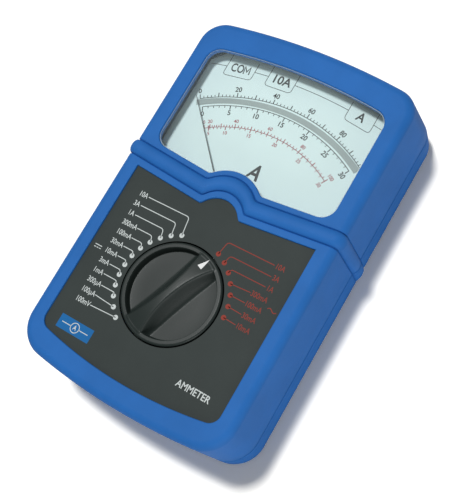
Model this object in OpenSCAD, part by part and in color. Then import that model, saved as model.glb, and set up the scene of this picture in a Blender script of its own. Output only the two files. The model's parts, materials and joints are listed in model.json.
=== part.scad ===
// Portable analog ammeter: blue two-part case, moving-coil movement behind a clear window,
// rotary range switch, three 4 mm safety sockets in the top end face.
// X to the right, Y towards the socket end, Z out of the front. The case lies on its feet at Z = 0.

/* [Case] */
// Width of the case without the belt
case_w = 103; // [98:0.1:116]
// Length of the case along its middle, at the parting line
case_l = 168.6; // [163:0.1:185]
// Height of the front border above the table
case_h = 42.5; // [41:0.5:50]
// Radius of the bowed end face with the sockets
head_bow_r = 340; // [200:5:600]
// Radius of the bowed end face below the switch
tail_bow_r = 300; // [200:5:600]
// Radius of the corners beside the sockets
head_corner_r = 10; // [8:0.5:14]
// Radius of the corners below the switch
tail_corner_r = 14; // [10:0.5:16]
// How far the socket end leans in between the parting line and the front
head_lean = 3.7; // [0:0.1:4]
// Rounding between the front and the sides
front_edge_r = 3.5; // [1.5:0.5:6]
// Rounding between the back and the sides
back_edge_r = 2.2; // [1:0.1:2.4]
// Thickness of the side walls
wall = 2.4; // [1.8:0.1:3]
// Thickness of the front wall
front_wall = 3.2; // [2.8:0.1:4]
// Thickness of the back wall
back_wall = 2.4; // [2:0.1:3.5]
// Height of the parting line above the table
parting_z = 13; // [11:0.5:14.5]
// Height of the locating lip on the rear case
lip_h = 1.6; // [0.8:0.1:2.5]
// Thickness of the locating lip
lip_t = 1.2; // [0.8:0.1:1.6]
// Sideways clearance of the locating lip
lip_gap = 0.15; // [0.05:0.05:0.3]

/* [Belt] */
// Width of the raised belt
belt_w = 6.6; // [4:0.1:9]
// How far the belt stands out
belt_proud = 1.4; // [0.6:0.1:2]
// Width of each step at the belt's edges
belt_step = 0.9; // [0.4:0.1:1.5]
// Y of the belt's upper edge at the middle of the hump
hump_y = 17.1; // [14.5:0.1:20.5]
// Y at which the belt's straight arms would meet on the centre line
arm_y = 10.8; // [8.5:0.1:12.5]
// Rise of the straight arms per millimetre of width
arm_slope = 0.09; // [0.02:0.01:0.15]
// Radius of the hump at the belt's upper edge
hump_r = 15; // [13:0.5:18]
// Blend between hump and arms
hump_blend = 1.5; // [0.5:0.1:3]

/* [Window and dial] */
// Half-width of the window opening
window_hw = 42; // [38:0.5:42.5]
// Width of the border between the window and the socket end
head_border = 15.8; // [14.8:0.1:19.8]
// Radius of the window's bowed top edge
window_bow_r = 245; // [180:5:400]
// Corner radius of the window opening
window_r = 6.5; // [4:0.5:9]
// Width of the border between belt and window
window_border = 2.6; // [1.5:0.1:4]
// Depth of the window face below the front border
window_recess = 0.6; // [0.3:0.1:1]
// Width of the window's glued flange
flange_w = 2.2; // [1.5:0.1:2.8]
// Thickness of the window's flange
flange_t = 1.4; // [1:0.1:1.8]
// Wall of the window's skirt
skirt_t = 1.2; // [0.8:0.1:1.4]
// Depth of the dial face below the switch panel face
dial_depth = 7; // [6.8:0.1:7.6]
// Thickness of the dial plate
dial_t = 0.8; // [0.5:0.1:1]
// Radius of the middle of the mirror arc
mirror_r = 76.5; // [70:0.5:80]
// Width of the mirror arc
mirror_w = 2.4; // [1:0.1:3]
// Half-angle of the mirror arc
mirror_half = 30.5; // [24:0.5:31]
// Distance from the pivot down to the centre of the scale arcs
arc_drop = 26.3; // [15:0.1:32]

/* [Switch panel and knob] */
// Half-width of the switch panel
panel_hw = 42.7; // [38:0.1:44]
// Width of the border between the panel and the other end
tail_border = 9.5; // [8.8:0.1:14.8]
// Radius of the panel's bowed bottom edge
panel_bow_r = 200; // [150:5:400]
// Radius of the panel's bottom corners
panel_r = 5; // [2:0.5:8]
// Thickness of the switch panel
panel_t = 1.1; // [0.8:0.1:1.4]
// Depth of the panel face below the front border
panel_recess = 1; // [0.5:0.1:1.2]
// Width of the border between belt and panel
panel_border = 3.2; // [2:0.1:5]
// Y of the knob's axis
knob_y = -35.5; // [-39.5:0.5:-34.5]
// Outer radius of the knob
knob_r = 21; // [19:0.1:22]
// Radial gap around the knob
knob_gap = 0.6; // [0.4:0.05:1]
// Width of the knob's rim at its top
rim_w = 2; // [1.5:0.1:3]
// Height of the knob's rim above the panel
rim_h = 0.8; // [0.3:0.1:2]
// Height of the grip bar above the panel at its middle
grip_h = 3.6; // [2.5:0.1:5]
// Half-width of the grip bar's top at its waist
grip_waist = 2.1; // [1.5:0.1:3]
// Half-width of the grip bar's top at its ends
grip_end = 5.2; // [4:0.1:6]
// Half-width of the grip bar at its foot
grip_foot = 7; // [6:0.1:8]
// Depth of the finger wells below the rim
well_depth = 3.6; // [2.5:0.1:3.8]
// Angle between two switch positions
step_deg = 10.8; // [10:0.1:11]
// Steps from the rest position to the clockwise end
steps_cw = 6; // [4:1:6]
// Steps from the rest position to the other end
steps_ccw = 15; // [10:1:15]
// Steps of the rest position from the centre line
rest_steps = 2; // [1:1:3]

/* [Movement] */
// Y of the pointer's axis
pivot_y = 2.5; // [0.5:0.5:3.5]
// Angle of the pointer at zero, from the centre line
zero_deg = 43.5; // [38:0.5:45]
// Length of the pointer from its axis
pointer_l = 58; // [50:0.5:58]
// Length of the pointer's tail
tail_l = 12; // [9:0.5:12]
// Overtravel to the stops
overtravel_deg = 2; // [1:0.5:3]
// Radius of the core magnet
core_r = 8; // [7:0.1:8.2]
// Height of the core magnet and the yoke
core_h = 14; // [12:0.5:14]
// Air gap on each side of the coil winding
air_gap = 0.7; // [0.5:0.05:0.8]
// Thickness of the coil winding
coil_t = 1.5; // [1:0.1:1.6]
// Depth of the coil winding
coil_d = 3; // [2:0.1:3.4]
// Wall of the yoke ring
yoke_t = 5.6; // [4:0.1:6]
// Radius of the pivot staff
staff_r = 0.9; // [0.7:0.05:1]
// Running clearance of the pivots
pivot_gap = 0.05; // [0.02:0.01:0.08]
// Distance from the pivot to the zero adjuster's axis
adjuster_reach = 13; // [12:0.5:14]
// Throw of the zero adjuster's pin
adjuster_throw = 1.2; // [0.8:0.1:1.5]

/* [Sockets] */
// Spacing of the socket grid
socket_pitch = 19.05; // [19:0.01:20]
// Height of the socket axes above the table
socket_z = 23; // [22:0.5:24]
// Radius of the 4 mm contact bore
contact_bore_r = 2; // [1.9:0.01:2.1]
// Outer radius of the contact tube
contact_r = 2.6; // [2.4:0.05:2.7]
// Radius of the insulated post round the contact
post_r = 3.2; // [3.1:0.05:3.4]
// Inner radius of the shroud recess
shroud_r = 4.8; // [4.6:0.05:5]
// Outer radius of the socket sleeve
sleeve_r = 6; // [5.8:0.1:6.4]
// Length of the socket sleeve
sleeve_l = 22; // [18:0.5:24]

/* [Fasteners and feet] */
// Half the spacing of the case screws along the case
screw_y = 69; // [67:0.5:70]
// Radius of the case screws' thread
screw_r = 1.5; // [1.25:0.05:1.6]
// Radius of the screw posts
post_outer_r = 3.8; // [3.6:0.1:4]
// Radius of the rubber feet
foot_r = 4.5; // [3.5:0.1:5]
// Height of the feet below the back
foot_h = 0.8; // [0.5:0.1:1.5]

/* [Electrics] */
// Thickness of the circuit board
board_t = 1.6; // [1.2:0.1:1.6]
// Half-width of the circuit board
board_hw = 37.5; // [34:0.5:38]
// Radius of the large fuse
fuse_r = 5.15; // [4:0.05:5.2]
// Length of the large fuse
fuse_l = 38; // [32:0.5:38]
// Radius of the small fuse
small_fuse_r = 3.2; // [2.5:0.05:3.4]
// Length of the small fuse
small_fuse_l = 32; // [28:0.5:32]
// Width of the copper straps
strap_w = 4; // [3:0.5:4]
// Thickness of the copper straps
strap_t = 0.8; // [0.5:0.1:1]

/* [Hidden] */

steel = "silver";
brass = "#c9a44c";
copper = "#b87345";
case_blue = "#3571b8";
panel_black = "#353c40";
round_fn = 64;
small_fn = 32;
corner_steps = 6;
end_steps = 8;
layer_t = 0.02;      // how far joined pieces of one solid reach into each other
through = 1;         // how far a cutter passes its wall
seat_gap = 0.3;      // distance between parts of different moving bodies
fit_gap = 0.02;      // radial clearance of parts pressed or screwed together

// Ends of the window and the panel, and screw posts grown into the side walls
window_top = case_l / 2 - head_border;
panel_bottom = tail_border - case_l / 2;
post_bite = 0.2;
screw_x = case_w / 2 - wall - post_outer_r + post_bite;

// Heights of the stack, from the front down
panel_face = case_h - panel_recess;
panel_seat = panel_face - panel_t;
front_inner = case_h - front_wall;
window_face = case_h - window_recess;
flange_bottom = front_inner - flange_t;
dial_face = panel_face - dial_depth;
dial_back = dial_face - dial_t;
skirt_bottom = dial_face + 0.8;
back_outer = foot_h;
back_inner = foot_h + back_wall;

// ---- Outlines ----
// Bowed edge at edge_y with a round corner at each end, moved outwards by d
function pane(hw, edge_y, bow_r, r, d) =
    let (
        centre = edge_y - bow_r,
        cx = hw - r,
        cy = centre + sqrt(pow(bow_r - r, 2) - cx * cx),
        turn = atan2(cy - centre, cx),
        corner = [for (i = [0 : corner_steps]) let (a = turn * i / corner_steps)
            [cx + (r + d) * cos(a), cy + (r + d) * sin(a)]],
        bow = [for (i = [1 : end_steps - 1]) let (a = turn + (180 - 2 * turn) * i / end_steps)
            [(bow_r + d) * cos(a), centre + (bow_r + d) * sin(a)]],
        left = [for (i = [corner_steps : -1 : 0]) [-corner[i][0], corner[i][1]]]
    )
    concat(corner, bow, left);

// How far the socket end has leaned in at height z of the front case
function lean(z) = head_lean * (z - parting_z) / (case_h - parting_z);

// Y of the end face with the sockets at x and z
function end_y(x, z) = case_l / 2 - head_bow_r + sqrt(pow(head_bow_r, 2) - pow(x, 2)) - lean(z);

// Case outline moved inwards by d, with its socket end leaned in
function outline(d, leaned = 0) =
    concat(
        pane(case_w / 2, case_l / 2 - leaned, head_bow_r, head_corner_r, -d),
        [for (p = pane(case_w / 2, case_l / 2, tail_bow_r, tail_corner_r, -d)) [-p[0], -p[1]]]
    );

// The larger of a and b, blended over a width k
function blend_max(a, b, k) =
    let (h = max(k - abs(a - b), 0) / k) max(a, b) + h * h * k / 4;

// Y of the belt line moved down by d
function wave(x, d) =
    let (
        r = hump_r - d / 2,
        arm = arm_y - d + arm_slope * abs(x),
        hump = abs(x) < r ? hump_y - d - r + sqrt(r * r - x * x) : arm - hump_blend
    )
    blend_max(hump, arm, hump_blend);

hump_span = hump_r + 3;
wave_half = case_w / 2 + belt_proud + through;
wave_xs = concat([-wave_half], [for (i = [-10 : 10]) hump_span * i / 10], [wave_half]);

module band(top, bottom) {
    polygon(concat(
        [for (x = wave_xs) [x, wave(x, bottom)]],
        [for (i = [len(wave_xs) - 1 : -1 : 0]) [wave_xs[i], wave(wave_xs[i], top)]]
    ));
}

function window_outline(d) =
    let (
        wd = -window_border + d,
        foot_y = wave(window_hw - window_r, -window_border) + window_r,
        xs = [for (i = [-10 : 10]) hump_span * i / 10],
        foot = [for (i = [0 : corner_steps]) let (a = 90 * i / corner_steps)
            [window_hw - window_r + (window_r + d) * sin(a), foot_y - (window_r + d) * cos(a)]]
    )
    concat(
        [for (i = [corner_steps : -1 : 0]) [-foot[i][0], foot[i][1]]],
        [for (x = xs) [x, wave(x, wd)]],
        foot,
        pane(window_hw, window_top, window_bow_r, window_r, d)
    );

function panel_outline(d) =
    let (
        lower = pane(panel_hw, -panel_bottom, panel_bow_r, panel_r, d),
        top_d = belt_w + panel_border - d,
        xs = concat([-panel_hw - d], [for (i = [-10 : 10]) hump_span * i / 10], [panel_hw + d])
    )
    concat(
        [for (p = lower) [-p[0], -p[1]]],
        [for (i = [len(xs) - 1 : -1 : 0]) [xs[i], wave(xs[i], top_d)]]
    );

// Closed form through rings of [z, points], lowest first, all rings with the same number of points
module loft(rings) {
    n = len(rings[0][1]);
    m = len(rings);
    polyhedron(
        [for (r = rings) for (p = r[1]) [p[0], p[1], r[0]]],
        concat(
            [[for (i = [0 : n - 1]) i]],
            [for (k = [0 : m - 2], i = [0 : n - 1]) let (j = (i + 1) % n)
                [k * n + i, (k + 1) * n + i, (k + 1) * n + j, k * n + j]],
            [[for (i = [n - 1 : -1 : 0]) (m - 1) * n + i]]
        )
    );
}

// Ruled form between two rings of [z, points]
module loft_triangles(rings) {
    n = len(rings[0][1]);
    polyhedron(
        [for (r = rings) for (p = r[1]) [p[0], p[1], r[0]]],
        concat(
            [[for (i = [0 : n - 1]) i], [for (i = [n - 1 : -1 : 0]) n + i]],
            [for (i = [0 : n - 1]) [i, n + i, (i + 1) % n]],
            [for (i = [0 : n - 1]) [n + i, n + (i + 1) % n, (i + 1) % n]]
        )
    );
}

// Case form between two heights, with edge roundings r0 at the bottom and r1 at the top
module slab(d, z0, z1, r0, r1) {
    low = r0 > 0 ? [for (a = [90 : -22.5 : 0]) [z0 + r0 * (1 - sin(a)), d + r0 * (1 - cos(a))]] : [[z0, d]];
    high = r1 > 0 ? [for (a = [0 : 22.5 : 90]) [z1 - r1 * (1 - sin(a)), d + r1 * (1 - cos(a))]] : [[z1, d]];
    loft([for (p = concat(low, high)) [p[0], outline(p[1], z0 < parting_z ? 0 : lean(p[0]))]]);
}

module prism(z0, z1, points) {
    translate([0, 0, z0]) linear_extrude(z1 - z0) polygon(points);
}

// Upright cylinder between two heights
module rod(x, y, z0, z1, r, fn = small_fn) {
    translate([x, y, z0]) cylinder(h = z1 - z0, r = r, $fn = fn);
}

module ring(x, y, z0, z1, r_out, r_in, fn = round_fn) {
    difference() {
        rod(x, y, z0, z1, r_out, fn);
        rod(x, y, z0 - through, z1 + through, r_in, fn);
    }
}

// Block between two corners
module block(a, b) {
    translate(a) cube(b - a);
}

module at_pairs(x, y) {
    for (sx = [-1, 1], sy = [-1, 1]) translate([sx * x, sy * y, 0]) children();
}

// ---- Case ----
module belt(z0, z1, r0, r1) {
    for (s = [1, 2]) {
        out = belt_proud * s / 2;
        inset = belt_step * (s - 1);
        intersection() {
            slab(-out, r0 > 0 ? z0 + out : z0, r1 > 0 ? z1 + out : z1, r0, r1 > 0 ? r1 + out : 0);
            translate([0, 0, z0 - through]) linear_extrude(z1 - z0 + 2 * through + belt_proud)
                band(inset, belt_w - inset);
        }
    }
}

// Knob cup, from the front down
cup_wall = 1.8;
cup_floor_t = 1.8;
cup_gap = 0.5;
collar_h = 2.4;
collar_r = 7.5;
shaft_r = 4.5;
shaft_gap = 0.05;
knob_floor_t = 1.8;
cup_r = knob_r + knob_gap;
rim_top = panel_face + rim_h;
well_floor = rim_top - well_depth;
knob_back = well_floor - knob_floor_t;
cup_top = knob_back - cup_gap;
cup_back = cup_top - cup_floor_t;
collar_back = cup_back - collar_h;
rotor_t = 2.8;
rotor_top = collar_back - cup_gap;
rotor_back = rotor_top - rotor_t;
rotor_screw_head = 1.3;
board_top = rotor_back - rotor_screw_head - 0.7;
board_back = board_top - board_t;

// Movement frame and its posts
frame_t = 2.5;
frame_back = dial_back - frame_t;
frame_post_x = 32;
frame_post_drop = 2;
frame_post_over = 5.4;
frame_post_top_y = window_top + frame_post_over;
frame_post_r = 2.6;
frame_screw_r = 1.1;
board_margin = 3.3;
board_low = panel_bottom + board_margin;
board_high = -16.5;
board_post_x = 33;
board_post_inset = 5;
board_post_inner = 3.5;
board_post_r = 3;
board_screw_r = 1.1;
boss_top = frame_back - 0.2;
screw_tip_z = 24;
socket_xs = [-1.5 * socket_pitch, -0.5 * socket_pitch, 1.5 * socket_pitch];
collar_sleeve_r = 7.2;
function socket_mouth(x) = end_y(abs(x) + sleeve_r, socket_z + sleeve_r) - 0.3;
function socket_collar(x) = end_y(abs(x) + collar_sleeve_r, socket_z + collar_sleeve_r) - wall - 0.05;

module along_y(x, y0, y1, z, r, fn = small_fn) {
    translate([x, y1, z]) rotate([90, 0, 0]) cylinder(h = y1 - y0, r = r, $fn = fn);
}

module board_post_places() {
    for (s = [-1, 1], y = [board_low + board_post_inset, board_high - board_post_inner])
        translate([s * board_post_x, y, 0]) children();
}

module frame_post_places() {
    for (p = [
        [-frame_post_x, pivot_y - frame_post_drop], [frame_post_x, pivot_y - frame_post_drop], [0, frame_post_top_y]
    ])
        translate([p[0], p[1], 0]) children();
}

module front_case() {
    color(case_blue) difference() {
        union() {
            difference() {
                union() {
                    slab(0, parting_z, case_h, 0, front_edge_r);
                    belt(parting_z, case_h, 0, front_edge_r);
                }
                loft([for (z = [parting_z - through, front_inner]) [z, outline(wall, lean(z))]]);
            }
            at_pairs(screw_x, screw_y) rod(0, 0, parting_z, boss_top, post_outer_r);
            for (s = [-1, 1]) rod(s * screw_x, -screw_y, boss_top - through, front_inner + layer_t, post_outer_r);
            rod(0, knob_y, cup_back, front_inner + layer_t, cup_r + cup_wall, round_fn);
            rod(0, knob_y, collar_back, cup_back + layer_t, collar_r, round_fn);
            board_post_places() rod(0, 0, board_top, front_inner + layer_t, board_post_r);
            frame_post_places() rod(0, 0, dial_back, front_inner + layer_t, frame_post_r);
        }
        prism(front_inner - through, case_h + through, window_outline(0));
        prism(panel_seat, case_h + belt_proud + through, panel_outline(0));
        rod(0, knob_y, cup_top, case_h + through, cup_r, round_fn);
        rod(0, knob_y, collar_back - through, cup_top + through, shaft_r + shaft_gap, round_fn);
        for (x = socket_xs) along_y(x, socket_collar(x) - 2, case_l, socket_z, sleeve_r + shaft_gap, round_fn);
        at_pairs(screw_x, screw_y) rod(0, 0, parting_z - through, screw_tip_z + 1, screw_r + fit_gap);
        board_post_places() rod(0, 0, board_top - through, board_top + 8, board_screw_r + fit_gap);
        frame_post_places() rod(0, 0, dial_back - through, dial_back + 4, frame_screw_r + fit_gap);
    }
}

head_seat_z = 7;
head_r = 2.9;
head_h = 2.2;
foot_x = 36;
foot_y = 64;
foot_seat = 1.2;
adjuster_y = pivot_y - adjuster_reach;
adjuster_r = 3.5;
rib_h = 2;
rib_t = 1.4;
rib_ys = [-51.5, 32.5];
lip_lean = lean(parting_z + lip_h);

module rear_case() {
    color(case_blue) difference() {
        union() {
            difference() {
                union() {
                    slab(0, back_outer, parting_z, back_edge_r, 0);
                    belt(back_outer, parting_z, back_edge_r, 0);
                }
                prism(back_inner, parting_z + through, outline(wall));
            }
            difference() {
                prism(parting_z - 2 * lip_h, parting_z + lip_h, outline(wall + lip_gap, lip_lean));
                prism(parting_z - 3 * lip_h, parting_z + 2 * lip_h, outline(wall + lip_gap + lip_t, lip_lean));
                at_pairs(screw_x, screw_y)
                    rod(0, 0, parting_z, parting_z + 2 * lip_h, post_outer_r + 2 * lip_gap);
            }
            difference() {
                prism(parting_z - 2 * lip_h, parting_z, outline(wall - layer_t));
                prism(parting_z - 3 * lip_h, parting_z + through, outline(wall + lip_gap + lip_t, lip_lean));
            }
            at_pairs(screw_x, screw_y) {
                rod(0, 0, back_inner - layer_t, parting_z, post_outer_r);
                rod(0, 0, back_inner - layer_t, head_seat_z + 1.5, head_r + 1.7);
            }
            for (y = rib_ys) block(
                [-case_w / 2 + wall - layer_t, y, back_inner - layer_t],
                [case_w / 2 - wall + layer_t, y + rib_t, back_inner + rib_h]
            );
        }
        at_pairs(screw_x, screw_y) {
            rod(0, 0, 0, parting_z + through, screw_r + 0.2);
            rod(0, 0, 0, head_seat_z, head_r + 0.2);
        }
        at_pairs(foot_x, foot_y) rod(0, 0, 0, back_outer + foot_seat, foot_r + shaft_gap);
        rod(0, adjuster_y, 0, back_inner + through, adjuster_r + shaft_gap);
    }
}

module rubber_feet() {
    color("#2b2d2f") at_pairs(foot_x, foot_y) rod(0, 0, 0, back_outer + foot_seat, foot_r);
}

module case_screws() {
    color(steel) at_pairs(screw_x, screw_y) difference() {
        union() {
            rod(0, 0, head_seat_z - head_h, head_seat_z, head_r);
            rod(0, 0, head_seat_z - layer_t, screw_tip_z, screw_r);
        }
        for (a = [0, 90]) rotate(a)
            block([-head_r + 1, -0.4, head_seat_z - head_h - through], [head_r - 1, 0.4, head_seat_z - head_h + 1]);
    }
}

// ---- Window and dial ----
module window() {
    color("#dff0f2", 0.35) {
        prism(front_inner - layer_t, window_face, window_outline(-fit_gap));
        prism(flange_bottom, front_inner, window_outline(flange_w));
        difference() {
            prism(skirt_bottom, flange_bottom + layer_t, window_outline(skirt_t));
            prism(skirt_bottom - through, flange_bottom + through, window_outline(0));
            block([-case_w, -case_l, skirt_bottom - through], [case_w, window_top / 3, flange_bottom]);
        }
    }
}

dial_hw = 43.6;
dial_low = 9.5;
dial_over = 2;
dial_top_y = window_top + dial_over;
dial_low_cut = 6;
dial_top_cut = 8;
module dial_plate() {
    color("#dcebe8") difference() {
        prism(dial_back, dial_face, [
            [-dial_hw, dial_low + dial_low_cut], [dial_low_cut - dial_hw, dial_low],
            [dial_hw - dial_low_cut, dial_low], [dial_hw, dial_low + dial_low_cut],
            [dial_hw, dial_top_y - dial_top_cut], [dial_hw - dial_top_cut, dial_top_y],
            [dial_top_cut - dial_hw, dial_top_y], [-dial_hw, dial_top_y - dial_top_cut]
        ]);
        rod(0, pivot_y, dial_back - through, dial_face + through, coil_hole_r, round_fn);
        for (s = [-1, 1]) rod(s * dial_screw[0], dial_screw[1], dial_back - through, dial_face + through, 1.2);
    }
}

mirror_t = 0.15;
module mirror_arc() {
    color("#97a9a6") translate([0, pivot_y - arc_drop, dial_face]) rotate(90 - mirror_half)
        rotate_extrude(angle = 2 * mirror_half, $fn = 180)
            translate([mirror_r - mirror_w / 2, 0]) square([mirror_w, mirror_t]);
}

module switch_panel() {
    color(panel_black) difference() {
        prism(panel_seat, panel_face, panel_outline(-fit_gap));
        rod(0, knob_y, panel_seat - through, panel_face + through, cup_r, round_fn);
    }
}

// ---- Selector knob and range switch ----
rest_deg = -rest_steps * step_deg;
grip_crest = panel_face + grip_h;
grip_reach = knob_r - 1.4;
grip_crown_r = (pow(grip_reach, 2) + pow(grip_h - rim_h, 2)) / (2 * (grip_h - rim_h));
grip_block = grip_end + 0.4;
well_r = knob_r - rim_w;
well_low_r = well_r - 1;
well_top = grip_crest + 0.6;
foot_waist = 0.6;
module at_knob(turn = rest_deg) {
    translate([0, knob_y, 0]) rotate(turn) children();
}

// Plan of a finger well: an arc of radius r and a side along the grip bar, which bends in by waist
function well_plan(r, end_x, waist) =
    let (
        turn = acos(end_x / r),
        edge_y = r * sin(turn)
    )
    concat(
        [for (i = [-8 : 8]) [r * cos(turn * i / 8), r * sin(turn * i / 8)]],
        [for (i = [7 : -1 : -7]) let (t = i / 8) [end_x - waist * (1 - t * t), edge_y * t]]
    );

// Volume that a finger well takes away on one side of the grip bar
module well(side) {
    rise = (well_top - well_floor) / (rim_top - well_floor);
    rotate(side < 0 ? 180 : 0) loft_triangles([
        [well_floor, well_plan(well_low_r, grip_foot, foot_waist)],
        [well_top, well_plan(well_low_r + rise * (well_r - well_low_r), grip_end, grip_end - grip_waist)]
    ]);
}

module selector_knob() {
    color("#4a5154") at_knob() {
        difference() {
            union() {
                rod(0, 0, knob_back, rim_top, knob_r, round_fn);
                intersection() {
                    block([-grip_block, -grip_reach - 0.3, rim_top - through], [grip_block, grip_reach + 0.3, well_top]);
                    translate([-grip_block - through, 0, grip_crest - grip_crown_r]) rotate([0, 90, 0])
                        cylinder(h = 2 * (grip_block + through), r = grip_crown_r, $fn = 180);
                }
            }
            well(1);
            well(-1);
        }
        difference() {
            union() {
                rod(0, 0, rotor_top, knob_back + layer_t, shaft_r, round_fn);
                rod(0, 0, rotor_back, rotor_top + layer_t, spigot_r);
            }
            rod(0, 0, rotor_back - through, rotor_back + 7, rotor_screw_r + fit_gap);
        }
    }
}

spigot_r = 3.4;
rotor_screw_r = 1.2;
rotor_r = 17;
spring_r = 11;
spring_t = 0.5;
spring_h = 1.6;
spring_half = 48;
nose_r = 1.4;
nose_at = 12.5;
crest_r = 14;
detent_out_r = 17;
detent_in_r = 12.6;
groove_r = 1.6;
groove_at = 12.85;
detent_h = cup_back - rotor_top - 0.4;
wiper_angles = [0, 120, 240];
pad_r = 16;
track_r = 11;
track_t = 0.15;

module switch_rotor() {
    color("#e6e2d6") at_knob() {
        ring(0, 0, rotor_back, rotor_top, rotor_r, spigot_r + fit_gap);
        for (s = [-1, 1]) rotate(-90 + s * (spring_half + 7))
            rod(spring_r, 0, rotor_top - layer_t, rotor_top + spring_h, 1.1);
    }
}

module wiper_contacts() {
    color(brass) at_knob() for (a = wiper_angles) rotate(a + 90) {
        block([track_r - 1.5, -1.2, rotor_back - 0.4], [rotor_r - 0.2, 1.2, rotor_back]);
        for (r = [track_r, pad_r - 0.4])
            rod(r, 0, board_top + track_t + seat_gap, rotor_back - 0.4 + layer_t, 0.7);
    }
}

module rotor_screw() {
    color(steel) at_knob() {
        rod(0, 0, rotor_back - rotor_screw_head, rotor_back, spigot_r + 1.4);
        rod(0, 0, rotor_back - layer_t, rotor_back + 6, rotor_screw_r);
    }
}

module detent_spring() {
    color(brass) at_knob() translate([0, 0, rotor_top]) {
        rotate(-90 - spring_half) rotate_extrude(angle = 2 * spring_half, $fn = round_fn)
            translate([spring_r - spring_t / 2, 0]) square([spring_t, spring_h]);
        difference() {
            rod(0, -nose_at, 0, spring_h, nose_r);
            rod(0, 0, -through, spring_h + through, spring_r, round_fn);
        }
    }
}

module detent_ring() {
    margin = 7.5;
    color("#d8d4c8") at_knob(-90 + rest_deg) difference() {
        rod(0, 0, cup_back - detent_h, cup_back, detent_out_r, round_fn);
        rod(0, 0, cup_back - detent_h - through, cup_back + through, detent_in_r, round_fn);
        rotate(-steps_cw * step_deg - margin) translate([0, 0, cup_back - detent_h - through])
            rotate_extrude(angle = (steps_cw + steps_ccw) * step_deg + 2 * margin, $fn = round_fn)
                translate([detent_in_r - 1, 0]) square([crest_r - detent_in_r + 1, detent_h + 2 * through]);
        for (i = [-steps_cw : steps_ccw]) rotate(i * step_deg)
            rod(groove_at, 0, cup_back - detent_h - through, cup_back + through, groove_r);
    }
}

// ---- Circuit board ----
board_cut = 5;
module circuit_board() {
    color("#2f6b45") difference() {
        prism(board_back, board_top, [
            [board_cut - board_hw, board_low], [board_hw - board_cut, board_low], [board_hw, board_low + board_cut],
            [board_hw, board_high], [-board_hw, board_high], [-board_hw, board_low + board_cut]
        ]);
        rod(0, knob_y, board_back - through, board_top + through, spigot_r + 2.4, round_fn);
        board_post_places() rod(0, 0, board_back - through, board_top + through, board_screw_r + 0.2);
    }
}

module contact_tracks() {
    color(brass) translate([0, knob_y, 0]) {
        ring(0, 0, board_top, board_top + track_t, track_r + 0.9, track_r - 0.9);
        for (i = [-steps_cw : steps_ccw]) rotate(90 + rest_deg + i * step_deg)
            rod(pad_r, 0, board_top, board_top + track_t, 1.1);
    }
}

module headed_screw(z_seat, z_tip, shank_r, cap_r, cap_h) {
    rod(0, 0, z_seat - cap_h, z_seat, cap_r);
    rod(0, 0, z_seat - layer_t, z_tip, shank_r);
}

module board_screws() {
    color(steel) board_post_places() headed_screw(board_back, board_top + 6, board_screw_r, 2.2, 1.4);
}

shunt_y = -33.5;
shunt_x = 20;
shunt_w = 6;
shunt_t = 1;
shunt_drop = 4;
shunt_lug = 5;
module shunt_bar() {
    lug_z = board_back - shunt_lug;
    low_z = lug_z - shunt_drop;
    slope = shunt_t * 0.4;
    color(copper) for (s = [-1, 1]) translate([s * shunt_x, shunt_y, 0])
        block([-shunt_w / 2, 0, lug_z - shunt_t], [shunt_w / 2, shunt_w, board_back]);
    color("#a79a83") translate([0, shunt_y + shunt_w, 0]) rotate([90, 0, 0]) linear_extrude(shunt_w) polygon([
        [-shunt_x + shunt_w / 2, lug_z], [-shunt_x / 2, lug_z], [-shunt_x / 2 + shunt_drop, low_z],
        [shunt_x / 2 - shunt_drop, low_z], [shunt_x / 2, lug_z], [shunt_x - shunt_w / 2, lug_z],
        [shunt_x - shunt_w / 2, lug_z + shunt_t], [shunt_x / 2 - slope, lug_z + shunt_t],
        [shunt_x / 2 - slope - shunt_drop, low_z + shunt_t], [slope - shunt_x / 2 + shunt_drop, low_z + shunt_t],
        [slope - shunt_x / 2, lug_z + shunt_t], [-shunt_x + shunt_w / 2, lug_z + shunt_t]
    ]);
}

resistor_x = 25.5;
resistor_y = -31.5;
resistor_l = 8;
resistor_r = 1.3;
resistor_pitch = 6;
module range_resistors() {
    color("#c8b48a") for (i = [0 : 4])
        translate([resistor_x, resistor_y - i * resistor_pitch, board_back - resistor_r]) rotate([0, 90, 0])
            cylinder(h = resistor_l, r = resistor_r, $fn = small_fn);
}

large_fuse_y = -47.5;
small_fuse_y = -61.5;
clip_t = 0.6;
clip_stem = 2;
clip_l = 7;
function fuse_z(r) = board_back - clip_stem - r;

module fuse(y, r, length) {
    cap_l = 0.24 * length;
    translate([-length / 2, y, fuse_z(r)]) rotate([0, 90, 0]) {
        color(steel) for (z = [0, length - cap_l]) translate([0, 0, z]) cylinder(h = cap_l, r = r, $fn = small_fn);
        color("#ece6d8") translate([0, 0, cap_l / 2]) cylinder(h = length - cap_l, r = r - 0.3, $fn = small_fn);
    }
}

module fuse_large() {
    fuse(large_fuse_y, fuse_r, fuse_l);
}

module fuse_small() {
    fuse(small_fuse_y, small_fuse_r, small_fuse_l);
}

module fuse_clip(x, y, r) {
    translate([x, y, 0]) rotate([90, 0, 90]) linear_extrude(clip_l) difference() {
        union() {
            translate([0, fuse_z(r)]) circle(r + clip_t, $fn = small_fn);
            translate([-r * 0.6, fuse_z(r)]) square([r * 1.2, board_back - fuse_z(r)]);
        }
        translate([0, fuse_z(r)]) circle(r + fit_gap, $fn = small_fn);
        translate([-2 * r, fuse_z(r) - 2 * r - r * 0.4]) square([4 * r, 2 * r]);
    }
}

module fuse_clips() {
    color(brass) for (f = [[large_fuse_y, fuse_r, fuse_l], [small_fuse_y, small_fuse_r, small_fuse_l]])
        for (x = [-f[2] / 2 + 1, f[2] / 2 - 1 - clip_l]) fuse_clip(x, f[0], f[1]);
}

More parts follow.
